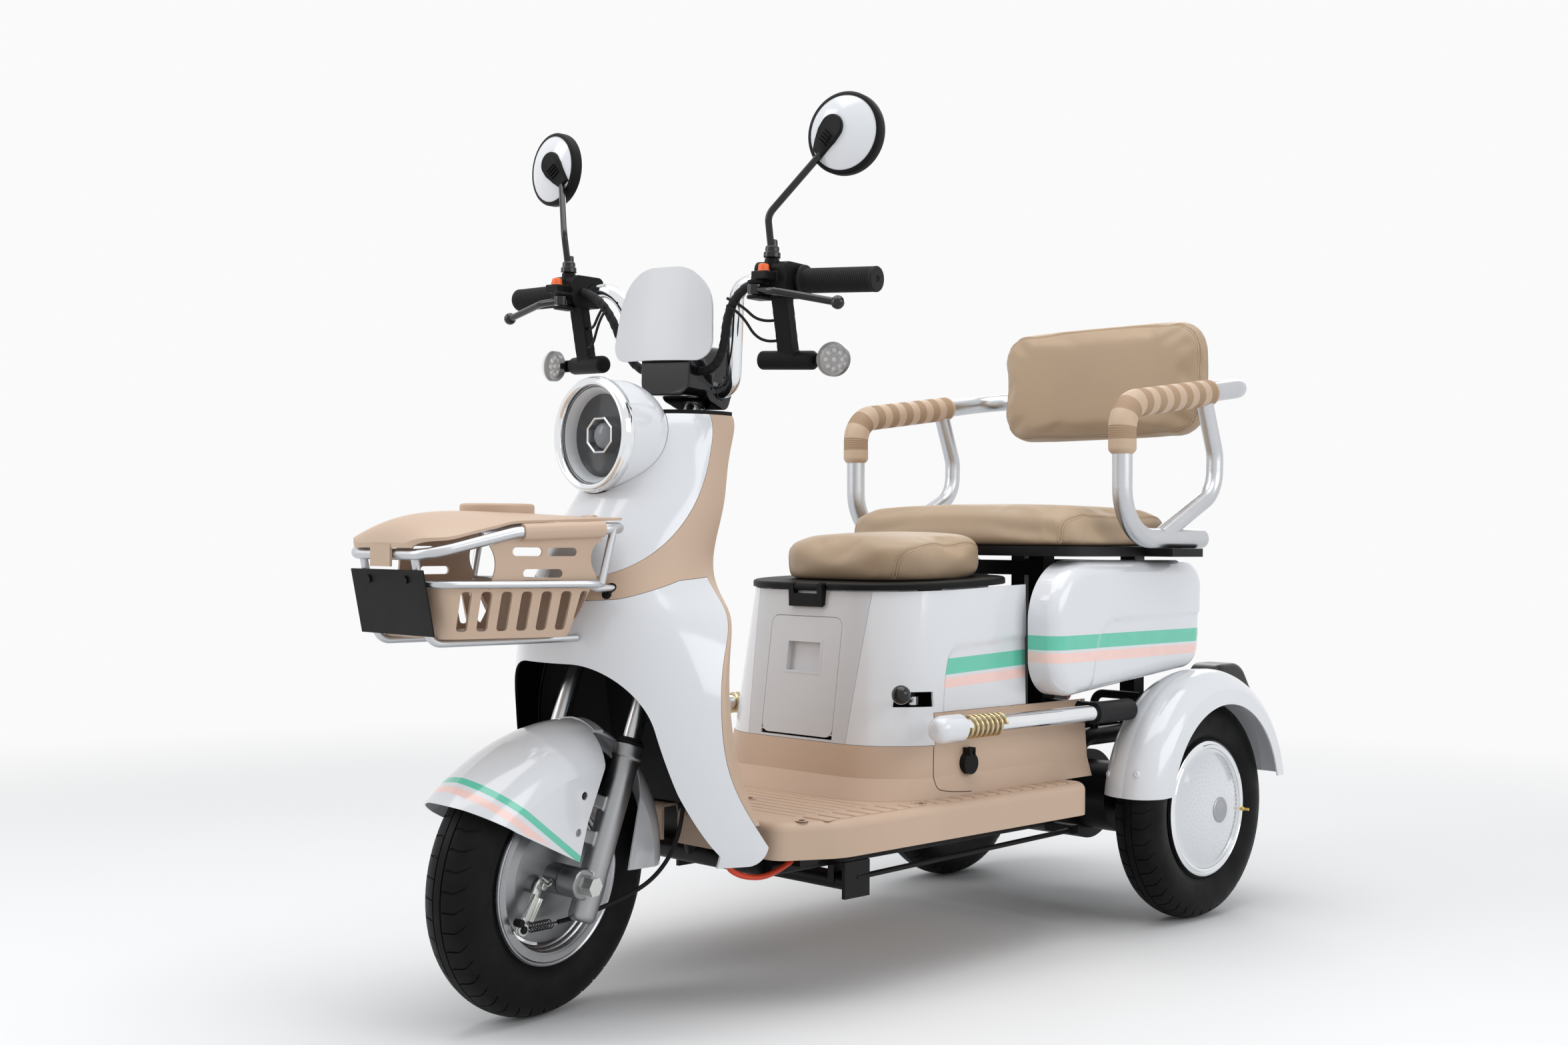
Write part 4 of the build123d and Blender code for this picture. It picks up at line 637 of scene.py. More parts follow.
tan_leather = leather("tan leather", tone(173, 149, 122))
thread = moulded("thread", tone(206, 184, 158), 0.7, 0.4, 3000, 0.06)
foam_light = leather("foam smooth", tone(194, 168, 143))
foam_dark = moulded("foam ribbed", tone(166, 139, 112), 0.66, 0.35, 1600, 0.05)
tyre_rubber = rubber_tyre()
pod_finish = striped("pod stripes", 0.4816, -0.004, 0.0222, 0.0045, 0.0155, -0.187)
box_finish = striped("box stripes", 0.4520, -0.037, 0.0237, 0.0049, 0.0147, -0.0055, 0.27)

for finish, names in (
    (frame_black, "rear_axle chassis_frame rear_seat_base"),
    (white_gloss, "lower_leg_shield upper_shield headlight_shell rear_fenders"),
    (tan_plastic, "inner_shield basket_tub basket_lid seat_box_base"),
    (black_plastic, "column_liners front_plate charge_socket charge_cap seat_tray switch_housings"),
    (black_gloss, "instrument_housing brake_lever_left brake_lever_right"),
    (panel_white_painted_shade, "seat_box_front battery_door"), (tan_floor, "floor_board"),
    (silver_paint, "basket_frame armrest_frame"), (steel, "fork_tubes park_lever"),
    (cast_alloy, "fork_sliders front_brake_plate"), (rim_alloy, "front_wheel"), (zinc, "front_brake_arm"),
    (chrome, "handlebar"), (gold_spring, "bumper_springs"), (orange_plastic, "button_left button_right"),
    (box_finish, "seat_box_sides"), (pod_finish, "rear_covers"), (fender_striped(), "front_fender"),
    (rear_lamp(), "tail_lights"), (screen_finish(), "windscreen"),
):
    for name in names.split():
        materials = nodes[name].data.materials
        materials.clear()
        materials.append(finish)


def second_finish(node, finish, chosen):
    # Gives some faces of a node, chosen by their centre's station and their normal, another finish
    mesh = nodes[node].data
    mesh.materials.append(finish)
    for face in mesh.polygons:
        if chosen(station(face.center), face.normal):
            face.material_index = 1


NUT_FROM = 78.2
KNOB, KNOB_RADIUS = Vector((674, 205.5, 406)), 14.4


def on_axle_nut(centre, _):
    return abs((STEERED.inverted() @ centre).y) > NUT_FROM


def on_lever_knob(centre, _):
    return (centre - KNOB).length < KNOB_RADIUS


def on_seat_hinge(centre, _):
    # The block at the panel's top that stands ahead of the leaning panel
    return abs(centre.y) < 36 and centre.z > 520 and centre.x - 682 + 34 * (centre.z - 321) / 260 > 0.8


def inside_column(centre, normal):
    return normal.dot(centre - Vector((FX - 230, 0, centre.z))) < -1.0


second_finish("front_brake_plate", zinc, on_axle_nut)
second_finish("park_lever", black_gloss, on_lever_knob)
second_finish("seat_box_front", black_plastic, on_seat_hinge)
for shield in ("lower_leg_shield", "inner_shield"):
    second_finish(shield, black_plastic, inside_column)


# Side panels pressed in below and behind a relief line
def nearest_of(points):
    tree = KDTree(len(points))
    for i, point in enumerate(points):
        tree.insert(point, i)
    tree.balance()
    return tree


def cut_fine(work, step):
    # Cuts a mesh along even planes across X and Z
    for axis in (0, 2):
        spots = [v.co[axis] for v in work.verts]
        start, end = min(spots), max(spots)
        normal = Vector((axis == 0, 0, axis == 2))
        for i in range(1, int((end - start) / step) + 1):
            parts = work.verts[:] + work.edges[:] + work.faces[:]
            plane = normal * (start + i * step)
            bmesh.ops.bisect_plane(work, geom=parts, dist=1e-7, plane_co=plane, plane_no=normal)


def within(x, z, region):
    inside = False
    for (ax, az), (bx, bz) in zip(region, region[1:] + region[:1]):
        if (az > z) != (bz > z) and x < ax + (z - az) * (bx - ax) / (bz - az):
            inside = not inside
    return inside


PANEL_CUT = 0.005
RAMP_WIDE = 7


def pressed(name, node, finish, line, corner, depth, outer, inner):
    work = bmesh.new()
    work.from_mesh(nodes[node].data)
    bmesh.ops.remove_doubles(work, verts=work.verts, dist=1e-6)
    cut_fine(work, PANEL_CUT)
    path = resampled(spline([(x, 0, z) for x, z in line]), 2.0)
    region = [(p.x, p.z) for p in path] + [corner]
    near = nearest_of(path)
    points = []
    for v in work.verts:
        spot = station(v.co)
        if abs(spot.y) > inner and within(spot.x, spot.z, region):
            reach = min(1.0, near.find((spot.x, 0, spot.z))[2] / RAMP_WIDE)
            share = min(1.0, (abs(spot.y) - inner) / (outer - inner))
            spot.y -= math.copysign(depth * reach * reach * (3 - 2 * reach) * share, spot.y)
        points.append(spot)
    faces = read_shape(work)[1]
    work.free()
    mesh_piece(name, (points, faces), finish, replaces=node, sharp=30)


pod_line = [
    (294, 350), (288, 385), (280, 420), (271, 455), (261, 488), (236, 505), (204, 509), (111, 510), (11, 512),
    (-70, 514),
]
pressed("pressed_covers", "rear_covers", pod_finish, pod_line, (-70, 340), 4.0, 262, 238)
box_line = [
    (576, 335), (572, 370), (567, 420), (556, 466), (522, 474), (465, 475), (377, 483), (350, 485.5),
]
pressed("pressed_sides", "seat_box_sides", box_finish, box_line, (350, 335), 2.8, 194, 184)


# Moulded and cast pieces with eased edges
def welded(name, node, gap, place=None):
    # A copy of a node as a new object, with its points merged and set in place
    mesh = nodes[node].data.copy()
    mesh.name = name
    work = bmesh.new()
    work.from_mesh(mesh)
    bmesh.ops.remove_doubles(work, verts=work.verts, dist=gap)
    if place:
        for v in work.verts:
            v.co = place(v.co)
    work.to_mesh(mesh)
    work.free()
    obj = bpy.data.objects.new(name, mesh)
    scene.collection.objects.link(obj)
    return obj


def applied(obj, kind, **settings):
    # Changes an object's mesh by a modifier
    bpy.context.view_layer.objects.active = obj
    modifier = obj.modifiers.new(kind, kind)
    for key, value in settings.items():
        setattr(modifier, key, value)
    bpy.ops.object.modifier_apply(modifier=modifier.name)


def finished(obj, finish):
    obj.data.materials.clear()
    obj.data.materials.append(finish)
    obj.data.shade_smooth()


def softened(name, node, body, finish, voxel, rounds):
    # A fine remesh of a node, relaxed a little
    obj = welded(name, node, 1e-6)
    applied(obj, "REMESH", mode="VOXEL", voxel_size=voxel)
    applied(obj, "SMOOTH", factor=0.5, iterations=rounds)
    finished(obj, finish)
    attached(obj, body, node)
    return obj


softened("eased_housings", "switch_housings", "steering", black_plastic, 0.0010, 8)
softened("eased_instrument", "instrument_housing", "steering", black_gloss, 0.0014, 5)
casting = softened("eased_sliders", "fork_sliders", "fork_lower", cast_alloy, 0.0012, 8)

# Slider bores kept round
LEG_AHEAD, LEG_HALF = 14, 66
SLIDER_BORE, BORE_FROM = 13.15, 45
fork_turn = Matrix((STEER_AHEAD, Vector((0, 1, 0)), STEER_UP)).to_4x4()
into_fork = fork_turn @ at(*-STEER_FOOT) @ STEERED.inverted()
out_of_fork = into_fork.inverted()
for v in casting.data.vertices:
    spot = into_fork @ station(v.co)
    side = math.copysign(LEG_HALF, spot.y)
    off = Vector((spot.x - LEG_AHEAD, spot.y - side, 0))
    if spot.z > BORE_FROM and off.length < SLIDER_BORE:
        v.co = row(out_of_fork @ (Vector((LEG_AHEAD, side, spot.z)) + off.normalized() * SLIDER_BORE))

# Tyres with angled sipes
SIPES = 44
SIPE_SPLITS = (0.0, 0.025, 0.085, 0.11, 0.36, 0.6, 0.8)
TREAD_FROM = 166


def tyre_shape():
    # Rows across the section, columns round the wheel; the columns lean so that the sipes do
    crown = dome(28.8, 9, TYRE_RADIUS)
    half = [(106, 27.6), (112, 28.4)] + arc_through((116, 28.4), (148, 40), (176, 28.8), 14)[:-1]
    half += [(crown(y), y) for y in (28.8, 26.5, 23, 19, 15, 11.5, 9.2, 7.4, 7.0, 5.6, 5.2, 2.6)]
    for k in (4, 6):
        half[k] = (half[k][0] + 0.7, half[k][1] + 0.5)
    rows = half + [(TYRE_RADIUS, 0)] + [(r, -y) for r, y in reversed(half)]
    points = []
    for r, y in rows:
        reach = abs(y) / 30
        on_tread = r > TREAD_FROM
        lean = 0.55 * reach ** 1.5 + 0.16 * math.sin(reach * 5.2) if on_tread else 0.55
        offset = 0.5 if y < 0 else 0.0
        groove = 5.4 < abs(y) < 7.2 and r > 180
        for s in range(SIPES):
            for k, split in enumerate(SIPE_SPLITS):
                sink = 1.8 if groove else 0.0
                if on_tread and k in (1, 2) and 8.4 < abs(y) < 36:
                    sink = 1.9 * min(1.0, (r - TREAD_FROM) / 6)
                x, z = polar(r - sink, (s + split + offset + lean) / SIPES)
                points.append(Vector((x, y, z)))
    return points, banded(len(rows), SIPES * len(SIPE_SPLITS))


REAR_HUB = at(0, TRACK_HALF, TYRE_RADIUS)
FRONT_HUB = STEERED @ at(WHEELBASE, 0, TYRE_RADIUS)
REAR_BODY = "rear_wheel_{}_body"
tyre = tyre_shape()
pair("tread_rear_tyre", tyre, tyre_rubber, REAR_BODY, local=REAR_HUB, replaces="rear_tyre_{}", sharp=28)
mesh_piece("tread_front_tyre", moved(tyre, FRONT_HUB), tyre_rubber, "front_wheel_body",
           replaces="front_tyre", sharp=28)

# Front rim: a rolled lip on both sides and a stepped barrel beside the brake plate
lip = lathe([
    (99.8, 32.2), (112.6, 32.2), (113.4, 33), (112.8, 34.2), (111, 34.8), (109.4, 34.2), (108.2, 33), (104, 32.7),
    (99.8, 32.6), (99.8, 32.2),
])
barrel_steps = lathe([
    (98.9, 31.6), (96.6, 31.6), (95.8, 30.8), (95.8, 24), (93.6, 23), (92.8, 22), (92.8, 17), (90.6, 16),
    (89.8, 15), (89.8, 10), (98.9, 10), (98.9, 31.6),
])
pair("rim_lip", lip, rim_alloy, "front_wheel_body", FRONT_HUB)
mesh_piece("rim_steps", moved(barrel_steps, FRONT_HUB), rim_alloy, "front_wheel_body")

# Rear wheels: rim, bright ring, white cap with a swirl of small studs, centre disc and valve
CAP_EDGE = 97
cap_height = dome(CAP_EDGE, 24, 58.5)
rim_profile = [
    (10.06, -34), (28, -34), (30, -32), (30, -10), (97, -10), (99, -12), (99, -32), (112, -32), (114, -31),
    (114, -29.4), (112.6, -28.8), (103.8, -28.8), (103.8, 28.8), (112.6, 28.8), (114, 29.4), (114, 31),
    (112, 32), (99, 32), (99, -2), (97, -4), (30, -4), (30, 8), (28, 10), (10.06, 10),
]
cap_profile = [(0, 56.3)] + [(CAP_EDGE * i / 16, cap_height(CAP_EDGE * i / 16) - 1.6) for i in range(1, 17)]
cap_profile += [(99.5, 33.4), (99.5, 34.6), (97.6, 35.0)]
cap_profile += [(4 * i, cap_height(4 * i)) for i in range(24, -1, -1)]
ring_profile = [
    (99.8, 32.4), (112, 32.4), (113, 33.2), (112.6, 35.2), (110.4, 36.6), (107.8, 37), (106.6, 36),
    (105.4, 37), (102.6, 37.2), (100.4, 36.4), (99.8, 35), (99.8, 32.4),
]
disc_profile = [
    (0, 60.4), (12, 60.3), (13.8, 59.6), (15.8, 60.2), (19.4, 59.8), (21, 58.6), (21, 55.6), (0, 55.6),
]
valve_profile = [(0, 17), (2.2, 17), (2.6, 16.4), (2.6, 8), (3.4, 7.4), (3.4, 0)]
valve_at = spun("Y", -6) @ at(-103.5, 34.6, 0)
STUD_ARMS, STUDS_EACH = 30, 13
studs = []
for arm in range(STUD_ARMS):
    for k in range(STUDS_EACH):
        radius = 27 + 4.4 * k
        size = 0.9 + 0.04 * k
        x, z = polar(radius, arm / STUD_ARMS + 0.0105 * k + 0.00035 * k * k)
        stud = lathe([(0, 0.8), (size * 0.6, 0.6), (size, 0)], 6)
        studs.append(moved(stud, at(x, cap_height(radius) - 0.1, z)))
pair("rim", lathe(rim_profile), black_plastic, REAR_BODY, local=REAR_HUB, replaces="rear_wheel_{}")
for name, shape, finish, local, sharp in (
    ("cap_ring", lathe(ring_profile), chrome, REAR_HUB, 32),
    ("cap", lathe(cap_profile), white_gloss, REAR_HUB, 32),
    ("cap_studs", joined(*studs), white_gloss, REAR_HUB, 60),
    ("cap_disc", lathe(disc_profile, 48), grey_disc, REAR_HUB, 32),
    ("valve", lathe(valve_profile, 20), brass, REAR_HUB @ valve_at, 32),
):
    pair(name, shape, finish, REAR_BODY, local=local, sharp=sharp)

# Padded seats: each CAD cushion is remeshed, puffed by cloth pressure and sewn
PAD_VOXEL = 0.006
HELD_DEPTH = 0.004
CLOTH_FRAMES = 20
CLOTH = {
    "use_pressure": True, "uniform_pressure_force": 4.0, "quality": 4, "mass": 0.3, "tension_stiffness": 18,
    "compression_stiffness": 18, "bending_stiffness": 2.0, "vertex_group_mass": "held",
}


def puffed(obj, cap):
    # Swells an object under pressure, no point by more than cap
    rest = [v.co.copy() for v in obj.data.vertices]
    cloth = obj.modifiers.new("cloth", "CLOTH")
    for key, value in CLOTH.items():
        setattr(cloth.settings, key, value)
    cloth.settings.effector_weights.gravity = 0
    cloth.collision_settings.use_collision = False
    cloth.point_cache.frame_start = 1
    cloth.point_cache.frame_end = CLOTH_FRAMES
    for frame_number in range(1, CLOTH_FRAMES + 1):
        scene.frame_set(frame_number)
    swollen = obj.evaluated_get(bpy.context.evaluated_depsgraph_get())
    ends = [v.co.copy() for v in swollen.data.vertices]
    obj.modifiers.remove(cloth)
    scene.frame_set(1)
    for v, start, end in zip(obj.data.vertices, rest, ends):
        step = end - start
        if step.length > cap:
            step = step.normalized() * cap
        v.co = start + step


def soft_copy(name, node, shrink, cap, floor_axis):
    # A cushion over its base, which lies at the low end of one axis and is held
    low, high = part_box(node)
    middle = (low + high) / 2
    middle[floor_axis] = low[floor_axis]
    obj = welded(name, node, 1e-5, lambda spot: middle + (spot - middle) * shrink)
    applied(obj, "REMESH", mode="VOXEL", voxel_size=PAD_VOXEL)
    floor_at = middle[floor_axis]
    held = [v.index for v in obj.data.vertices if abs(v.co[floor_axis] - floor_at) < HELD_DEPTH]
    obj.vertex_groups.new(name="held").add(held, 1.0, "REPLACE")
    puffed(obj, cap)
    applied(obj, "SMOOTH", factor=0.5, iterations=6)
    applied(obj, "SUBSURF", levels=1)
    finished(obj, tan_leather)
    return obj


SEAM_DEPTH = 0.0024
SEAM_REACH, SEAM_WIDE = 0.008, 0.0026
STITCH_ASIDE = 0.0024


def sewn(name, obj, body, routes):
    # Draws the surface in along each seam and lays two rows of stitches beside it
    tree = BVHTree.FromObject(obj, bpy.context.evaluated_depsgraph_get())
    stitch = tube([(-1.5, 0, 0.1), (-0.8, 0, 0.34), (0.8, 0, 0.34), (1.5, 0, 0.1)], 0.5, 6)
    lines, stitches = [], []
    for route in routes:
        spots = [tree.find_nearest(row(point))[:2] for point in resampled(route, 2.0)]
        lines += [spot for spot, _ in spots]
        for i in range(1, len(spots) - 2, 2):
            here, up = spots[i]
            head = (spots[i + 1][0] - spots[i - 1][0]).normalized()
            side = up.cross(head).normalized()
            for out in (-1, 1):
                landed, up_there, _, _ = tree.find_nearest(here + side * (STITCH_ASIDE * out))
                turn = Matrix((head, side, up_there)).transposed().to_4x4()
                stitches.append(moved(stitch, at(*(landed * 1000)) @ turn))
    near = nearest_of(lines)
    for v in obj.data.vertices:
        gap = near.find(v.co)[2]
        if gap < SEAM_REACH:
            v.co -= v.normal * (SEAM_DEPTH * math.exp(-(gap / SEAM_WIDE) ** 2))
    thread_shape = moved(joined(*stitches), at(ORIGIN_X, 0, 0))
    mesh_piece(name + "_stitches", thread_shape, thread, body, sharp=60)


def seat_seams(front, rear, half, low, high, corner, inset):
    # On each side: up the front corner, over the shoulder and back along the top edge
    rise = high - low
    rounding = (
        (34, -4, low + 1), (35, -4, low + 0.3 * rise), (38, -2, low + 0.6 * rise), (46, 2, low + 0.84 * rise),
        (60, inset * 0.6, high - 5), (80, inset, high),
    )
    routes = []
    for side in (-1, 1):
        route = []
        for degrees, pull, z in rounding:
            turn, reach = math.radians(degrees), corner - pull
            y = half - corner + reach * math.sin(turn)
            route.append((front - corner + reach * math.cos(turn), side * y, z))
        y = side * (half - inset)
        route += [(front - corner - 30, y, high + 2), (rear + 40, y, high + 2), (rear + 8, y, high - 6)]
        routes.append(resampled(spline(route), 3.0))
    return routes


def squared(size, wave, power):
    return size * math.copysign(abs(wave) ** power, wave)


BACK_ROUND = 72
back_seam = []
for i in range(BACK_ROUND + 1):
    across, rise = polar(1, i % BACK_ROUND / BACK_ROUND)
    back_seam.append((-100, squared(224, across, 0.42), 920 + squared(107, rise, 0.48)))
for name, body, shrink, cap, floor_axis, routes, softness in (
    ("front_seat", "front_seat", 0.975, 0.007, 2, seat_seams(601, 363, 152, 566, 622, 88, 15), 0.85),
    ("rear_seat", "chassis", 0.98, 0.008, 2, seat_seams(332, 0, 252, 622, 676, 66, 16), 0.85),
    ("backrest", "chassis", 0.97, 0.007, 0, [back_seam], 0.8),
):
    pad = soft_copy(name + "_pad", name + "_cushion", shrink, cap, floor_axis)
    sewn(name, pad, body, routes)
    attached(pad, body, name + "_cushion")

# Armrest sleeves with smooth and ribbed bands
ARM_Y, ARM_FRONT, ARM_RISE = 286, (240, 846), (900 - 846) / (-150 - 240)
SLEEVE_REAR = -22
SLEEVE_SIDES = 40
SLEEVE_END, BAND = 12, 19.5
sleeve_corners = [
    (SLEEVE_REAR, ARM_Y, ARM_FRONT[1] + (SLEEVE_REAR - ARM_FRONT[0]) * ARM_RISE),
    (ARM_FRONT[0], ARM_Y, ARM_FRONT[1]), (239.2, ARM_Y, 768),
]
sleeve_path = resampled(bent(sleeve_corners, 46, 24), 0.75)
sleeve_run = path_length(sleeve_path)


def ribbed_band(run):
    return SLEEVE_END < run < sleeve_run - SLEEVE_END and int((run - SLEEVE_END) / BAND) % 2 == 0


def sleeve_radius(run, _):
    end = min(run, sleeve_run - run)
    rounding = 5.5 * (1 - min(1.0, end / 9)) ** 2
    if ribbed_band(run):
        return 21.9 - rounding + 0.4 * math.cos(2 * math.pi * run / 3.0)
    return 22.3 - rounding


sleeve = tube(sleeve_path, sleeve_radius, SLEEVE_SIDES)
sleeve_rows = len(sleeve_path) - 1
for pad in pair("armrest_pad", sleeve, [foam_light, foam_dark], replaces="armrest_sleeves", sharp=60):
    for k, face in enumerate(pad.data.polygons):
        k //= SLEEVE_SIDES
        ribbed = k < sleeve_rows and ribbed_band((k + 0.5) * sleeve_run / sleeve_rows)
        face.material_index = 1 if ribbed else 0

# Mirrors
MIRROR = Vector((BAR_X + 22, 193, BAR_Z + 25.5))
HEAD = Vector((BAR_X - 20, 275, MIRROR.z + 166))
MIRROR_BODY = "mirror_{}_body"
stem_points = [
    MIRROR + Vector((0, 0, 1.6)), MIRROR + Vector((12, 0, 56)), Vector((BAR_X - 8, 246, MIRROR.z + 140)),
    Vector((BAR_X - 14, 262, MIRROR.z + 158)),
]
stem = tube(bent(stem_points, 22), 4.9)
boot = moved(lathe([
    (0, 25), (6, 25), (6.8, 24), (7.4, 17), (9.2, 15.6), (9.8, 14), (9.8, 9), (11.4, 7.8), (11.8, 6.4),
    (11.8, 1.4), (10.6, 0.4), (0, 0.4),
], 36), at(*MIRROR) @ spun("X", 90))
head_turn = at(*HEAD) @ spun("Z", -82)
head_height = dome(55, 16, 18)
back_profile = [(0, -4), (49, -4)] + [(2.5 * i, head_height(2.5 * i) - 0.6) for i in range(20, -1, -1)]
rim_ring = [
    (49.2, -5.4), (49.2, -10.6), (50.6, -12), (52.8, -12), (54.4, -10.6), (55, -8.4), (55, 1.6), (54, 3.6),
    (51.4, 5.2), (49.4, 5.6), (49.2, 4), (49.2, -5.4),
]
glass_profile = [(0, -6.6), (49, -6.6), (49, -4.6), (0, -4.6)]
foot_outline = half_round(18, 4, 24) + [(-17.4, -8), (-13, -24), (-9, -37), (9, -37), (13, -24), (17.4, -8)]
foot_ribs = [block((-9, 4.4, z - 1.1), (9, 7.2, z + 1.1), 0.7) for z in (-5, -9.6, -14.2, -18.8)]


def on_dome(shape, aside, tilt):
    # Bends a flat piece on to the mirror's domed back, set aside and turned towards the stem
    points, faces = moved(shape, at(*aside) @ spun("Y", tilt))
    heights = [head_height(min(54.0, math.hypot(p.x, p.z))) - 1.4 for p in points]
    return [Vector((p.x, p.y + height, p.z)) for p, height in zip(points, heights)], faces


mount = on_dome(joined(plate(foot_outline, 5.5, 2.2), *foot_ribs), (14, 0, 2), -38)
pair("mirror_stem", joined(stem, boot), black_gloss, MIRROR_BODY, BARRED, replaces="mirror_{}")
for name, shape, finish, slot in (
    ("mirror_back", lathe(back_profile), white_gloss, "mirror_shell"),
    ("mirror_rim", lathe(rim_ring), black_plastic, None),
    ("mirror_glass", lathe(glass_profile), mirror_glass, None),
    ("mirror_mount", mount, black_plastic, None),
):
    pair(name, shape, finish, MIRROR_BODY, BARRED, head_turn, slot)

# Headlight: bright ring, frosted inner ring, dark bowl, eight-sided projector frame, lens
LAMP = at(FX - 110, 0, 768) @ spun("Z", -90)
LAMP_RADIUS = 77.5
LENS_RADIUS = LAMP_RADIUS - 12


def from_rim(*profile):
    return [(LAMP_RADIUS + out, height) for out, height in profile]


def lamp_part(name, profile, sides, finish, **more):
    mesh_piece(name, moved(lathe(profile, sides), LAMP), finish, **more)


bezel = from_rim(
    (-6, 0.4), (1.4, 0.4), (2, 1.2), (2, 9.4), (1.4, 11), (0.4, 11.4), (0.2, 13), (-1.6, 15.6), (-4.4, 17),
    (-7, 16.6), (-9.4, 14.4), (-11.2, 11), (-11.5, 6.2), (-6, 6.2), (-6, 0.4),
)
lens_height = dome(LENS_RADIUS, 4.5, 12.5)
lens_out = [(LENS_RADIUS * i / 16, lens_height(LENS_RADIUS * i / 16)) for i in range(17)]
lens_in = [(radius, height - 1.8) for radius, height in reversed(lens_out)]
guide = from_rim(
    (-12.2, 5.4), (-14, 5.6), (-15.6, 4.4), (-19, -3), (-20, -7), (-20.4, -9), (-19, -10), (-13, -3.4),
    (-12.2, 0), (-12.2, 5.4),
)
bowl = from_rim((-20, -9.4), (-24, -14), (-32, -19)) + [(20, -20.5), (0, -21), (0, -26.2)]
bowl += from_rim((-26, -26.2), (-15, -8.6))
lamp_part("lamp_bezel", bezel, 128, chrome, replaces="headlight_bezel", sharp=40)
lamp_part("lamp_lens", lens_out + lens_in, 96, lens_clear)
lamp_part("lamp_guide", guide, 96, frosted)
lamp_part("lamp_bowl", bowl, 96, bowl_dark, replaces="headlight_module")


def eight_ring(outer, inner, low, high, wide):
    # An eight-sided frame, wider than tall, with eased edges
    brow = high - 1
    rings = ((outer, low), (outer, brow), (outer - 1, high), (inner + 1, high), (inner, brow), (inner, low))
    points = []
    for size, height in rings:
        for i in range(8):
            x, z = polar(size, (i + 0.5) / 8)
            points.append(Vector((x * wide, height, z)))
    return points, banded(len(rings), 8, closed=True)


mesh_piece("lamp_frame", moved(eight_ring(26.5, 23, -20.6, -2, 1.1), LAMP), chrome, sharp=20)
eye = [(0, -1.2), (8, -2.2), (14, -5), (17.4, -9), (18.6, -13), (18.6, -20.4), (0, -20.4)]
lamp_part("lamp_eye", eye, 64, lens_projector)
iris = [(0, -19.8), (21.2, -19.8), (22.6, -18.6), (22.6, -20.4), (0, -20.4)]
lamp_part("lamp_iris", iris, 48, black_gloss, slot="lamp_inside")

# Grips, both with fine rings and a flange at each end
BAR_TOP = Vector((BAR_X, 114, BAR_Z))
BAR_RUN = (Vector((BAR_X - 17, 336, BAR_Z - 4)) - BAR_TOP).normalized()
GRIP_RINGS, RING_PITCH = 34, 3.02
near_ahead = Vector((1, 0.08, 0))
bar_across = (near_ahead - BAR_RUN * near_ahead.dot(BAR_RUN)).normalized()
bar_side = at(*BAR_TOP) @ Matrix((bar_across, BAR_RUN, bar_across.cross(BAR_RUN))).transposed().to_4x4()
grip_profile = [(11.2, 110), (19.6, 110), (21, 111.2), (21, 113.8), (19.4, 115), (16.6, 115.4)]
for i in range(GRIP_RINGS):
    base = 116.5 + RING_PITCH * i
    grip_profile += [(15.9, base), (16.7, base + 0.7), (16.7, base + 2.0), (15.9, base + 2.7)]
grip_profile += [(16.9, 221), (17, 224.4), (16.2, 225.8), (14.4, 226), (5, 226), (3.6, 224), (0, 224)]
grip = lathe(grip_profile, 64)
for (side, flip), body, node in zip(SIDES, ("steering", "throttle"), ("left_grip", "throttle_grip")):
    mesh_piece("grip_" + side, moved(grip, BARRED @ flip @ bar_side), black_rubber, body, replaces=node, sharp=40)

# Button caps standing on the pressed bodies
button = lathe([(0, 8.4), (4.4, 8.2), (6.3, 7.3), (7.1, 5.6), (7.4, 0), (0, 0)], 40)
for side, body in (("left", "horn_button"), ("right", "light_button")):
    low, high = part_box("button_" + side)
    x, y, z = station(Vector(((low.x + high.x) / 2, (low.y + high.y) / 2, high.z)))
    mesh_piece("button_cap_" + side, moved(button, at(x, y, z - 0.8) @ spun("X", 90)), orange_plastic, body)

# Turn-signal lamps: dish with a ring of small emitters behind a clear cover
signal_turn = math.degrees(math.atan2(24, 118))
SIGNAL = at(BAR_X - 36, 264, BAR_Z - 106) @ spun("Z", signal_turn) @ at(2.8, 0, 0) @ spun("Z", -90)
EMITTERS, EMITTER_RING = 8, 12.8
dish = [(0, 0), (20, 0), (22.8, 3.6), (23, 5), (23, 12.5), (21.6, 12.5), (21.2, 6), (17, 4.4), (0, 4.2)]
cover = [(23, 12.6), (23, 14.2), (21, 17.6), (16.5, 20.6), (9, 22.6), (0, 23)]
cover += [(radius - 1.4 if radius else 0, height - 1.2) for radius, height in reversed(cover)]
emitter = lathe([(0, 9.4), (2.2, 8.6), (3.2, 7), (3.6, 4.2)], 18)
emitter_spots = [(0, 0)] + [polar(EMITTER_RING, i / EMITTERS) for i in range(EMITTERS)]
emitters = [moved(emitter, at(x, 0, z)) for x, z in emitter_spots]
pair("signal_dish", lathe(dish, 64), dish_grey, "steering", BARRED, SIGNAL, replaces="signal_lamps")
pair("signal_emitters", joined(*emitters), frosted, "steering", BARRED, SIGNAL, sharp=60)
pair("signal_cover", lathe(cover, 64), lens_ribbed, "steering", BARRED, SIGNAL)

# Wrapped cable bundles beside the bar, and thin leads from them to the lamp brackets
BUNDLE_RADIUS, WRAP_PITCH, WRAP_STEP = 5.7, 13, 0.8
bundle = [
    (BAR_X + 16, 165.4, BAR_Z - 3), (BAR_X + 20, 118, BAR_Z - 14), (BAR_LOW.x + 48, 86, BAR_LOW.z + 26),
    (BAR_LOW.x + 48, 46.4, BAR_LOW.z + 26),
]


def wrapped(run, angle):
    turn = (run / WRAP_PITCH + angle / (2 * math.pi)) % 1.0
    return BUNDLE_RADIUS + WRAP_STEP * min(1.0, turn * 1.25)


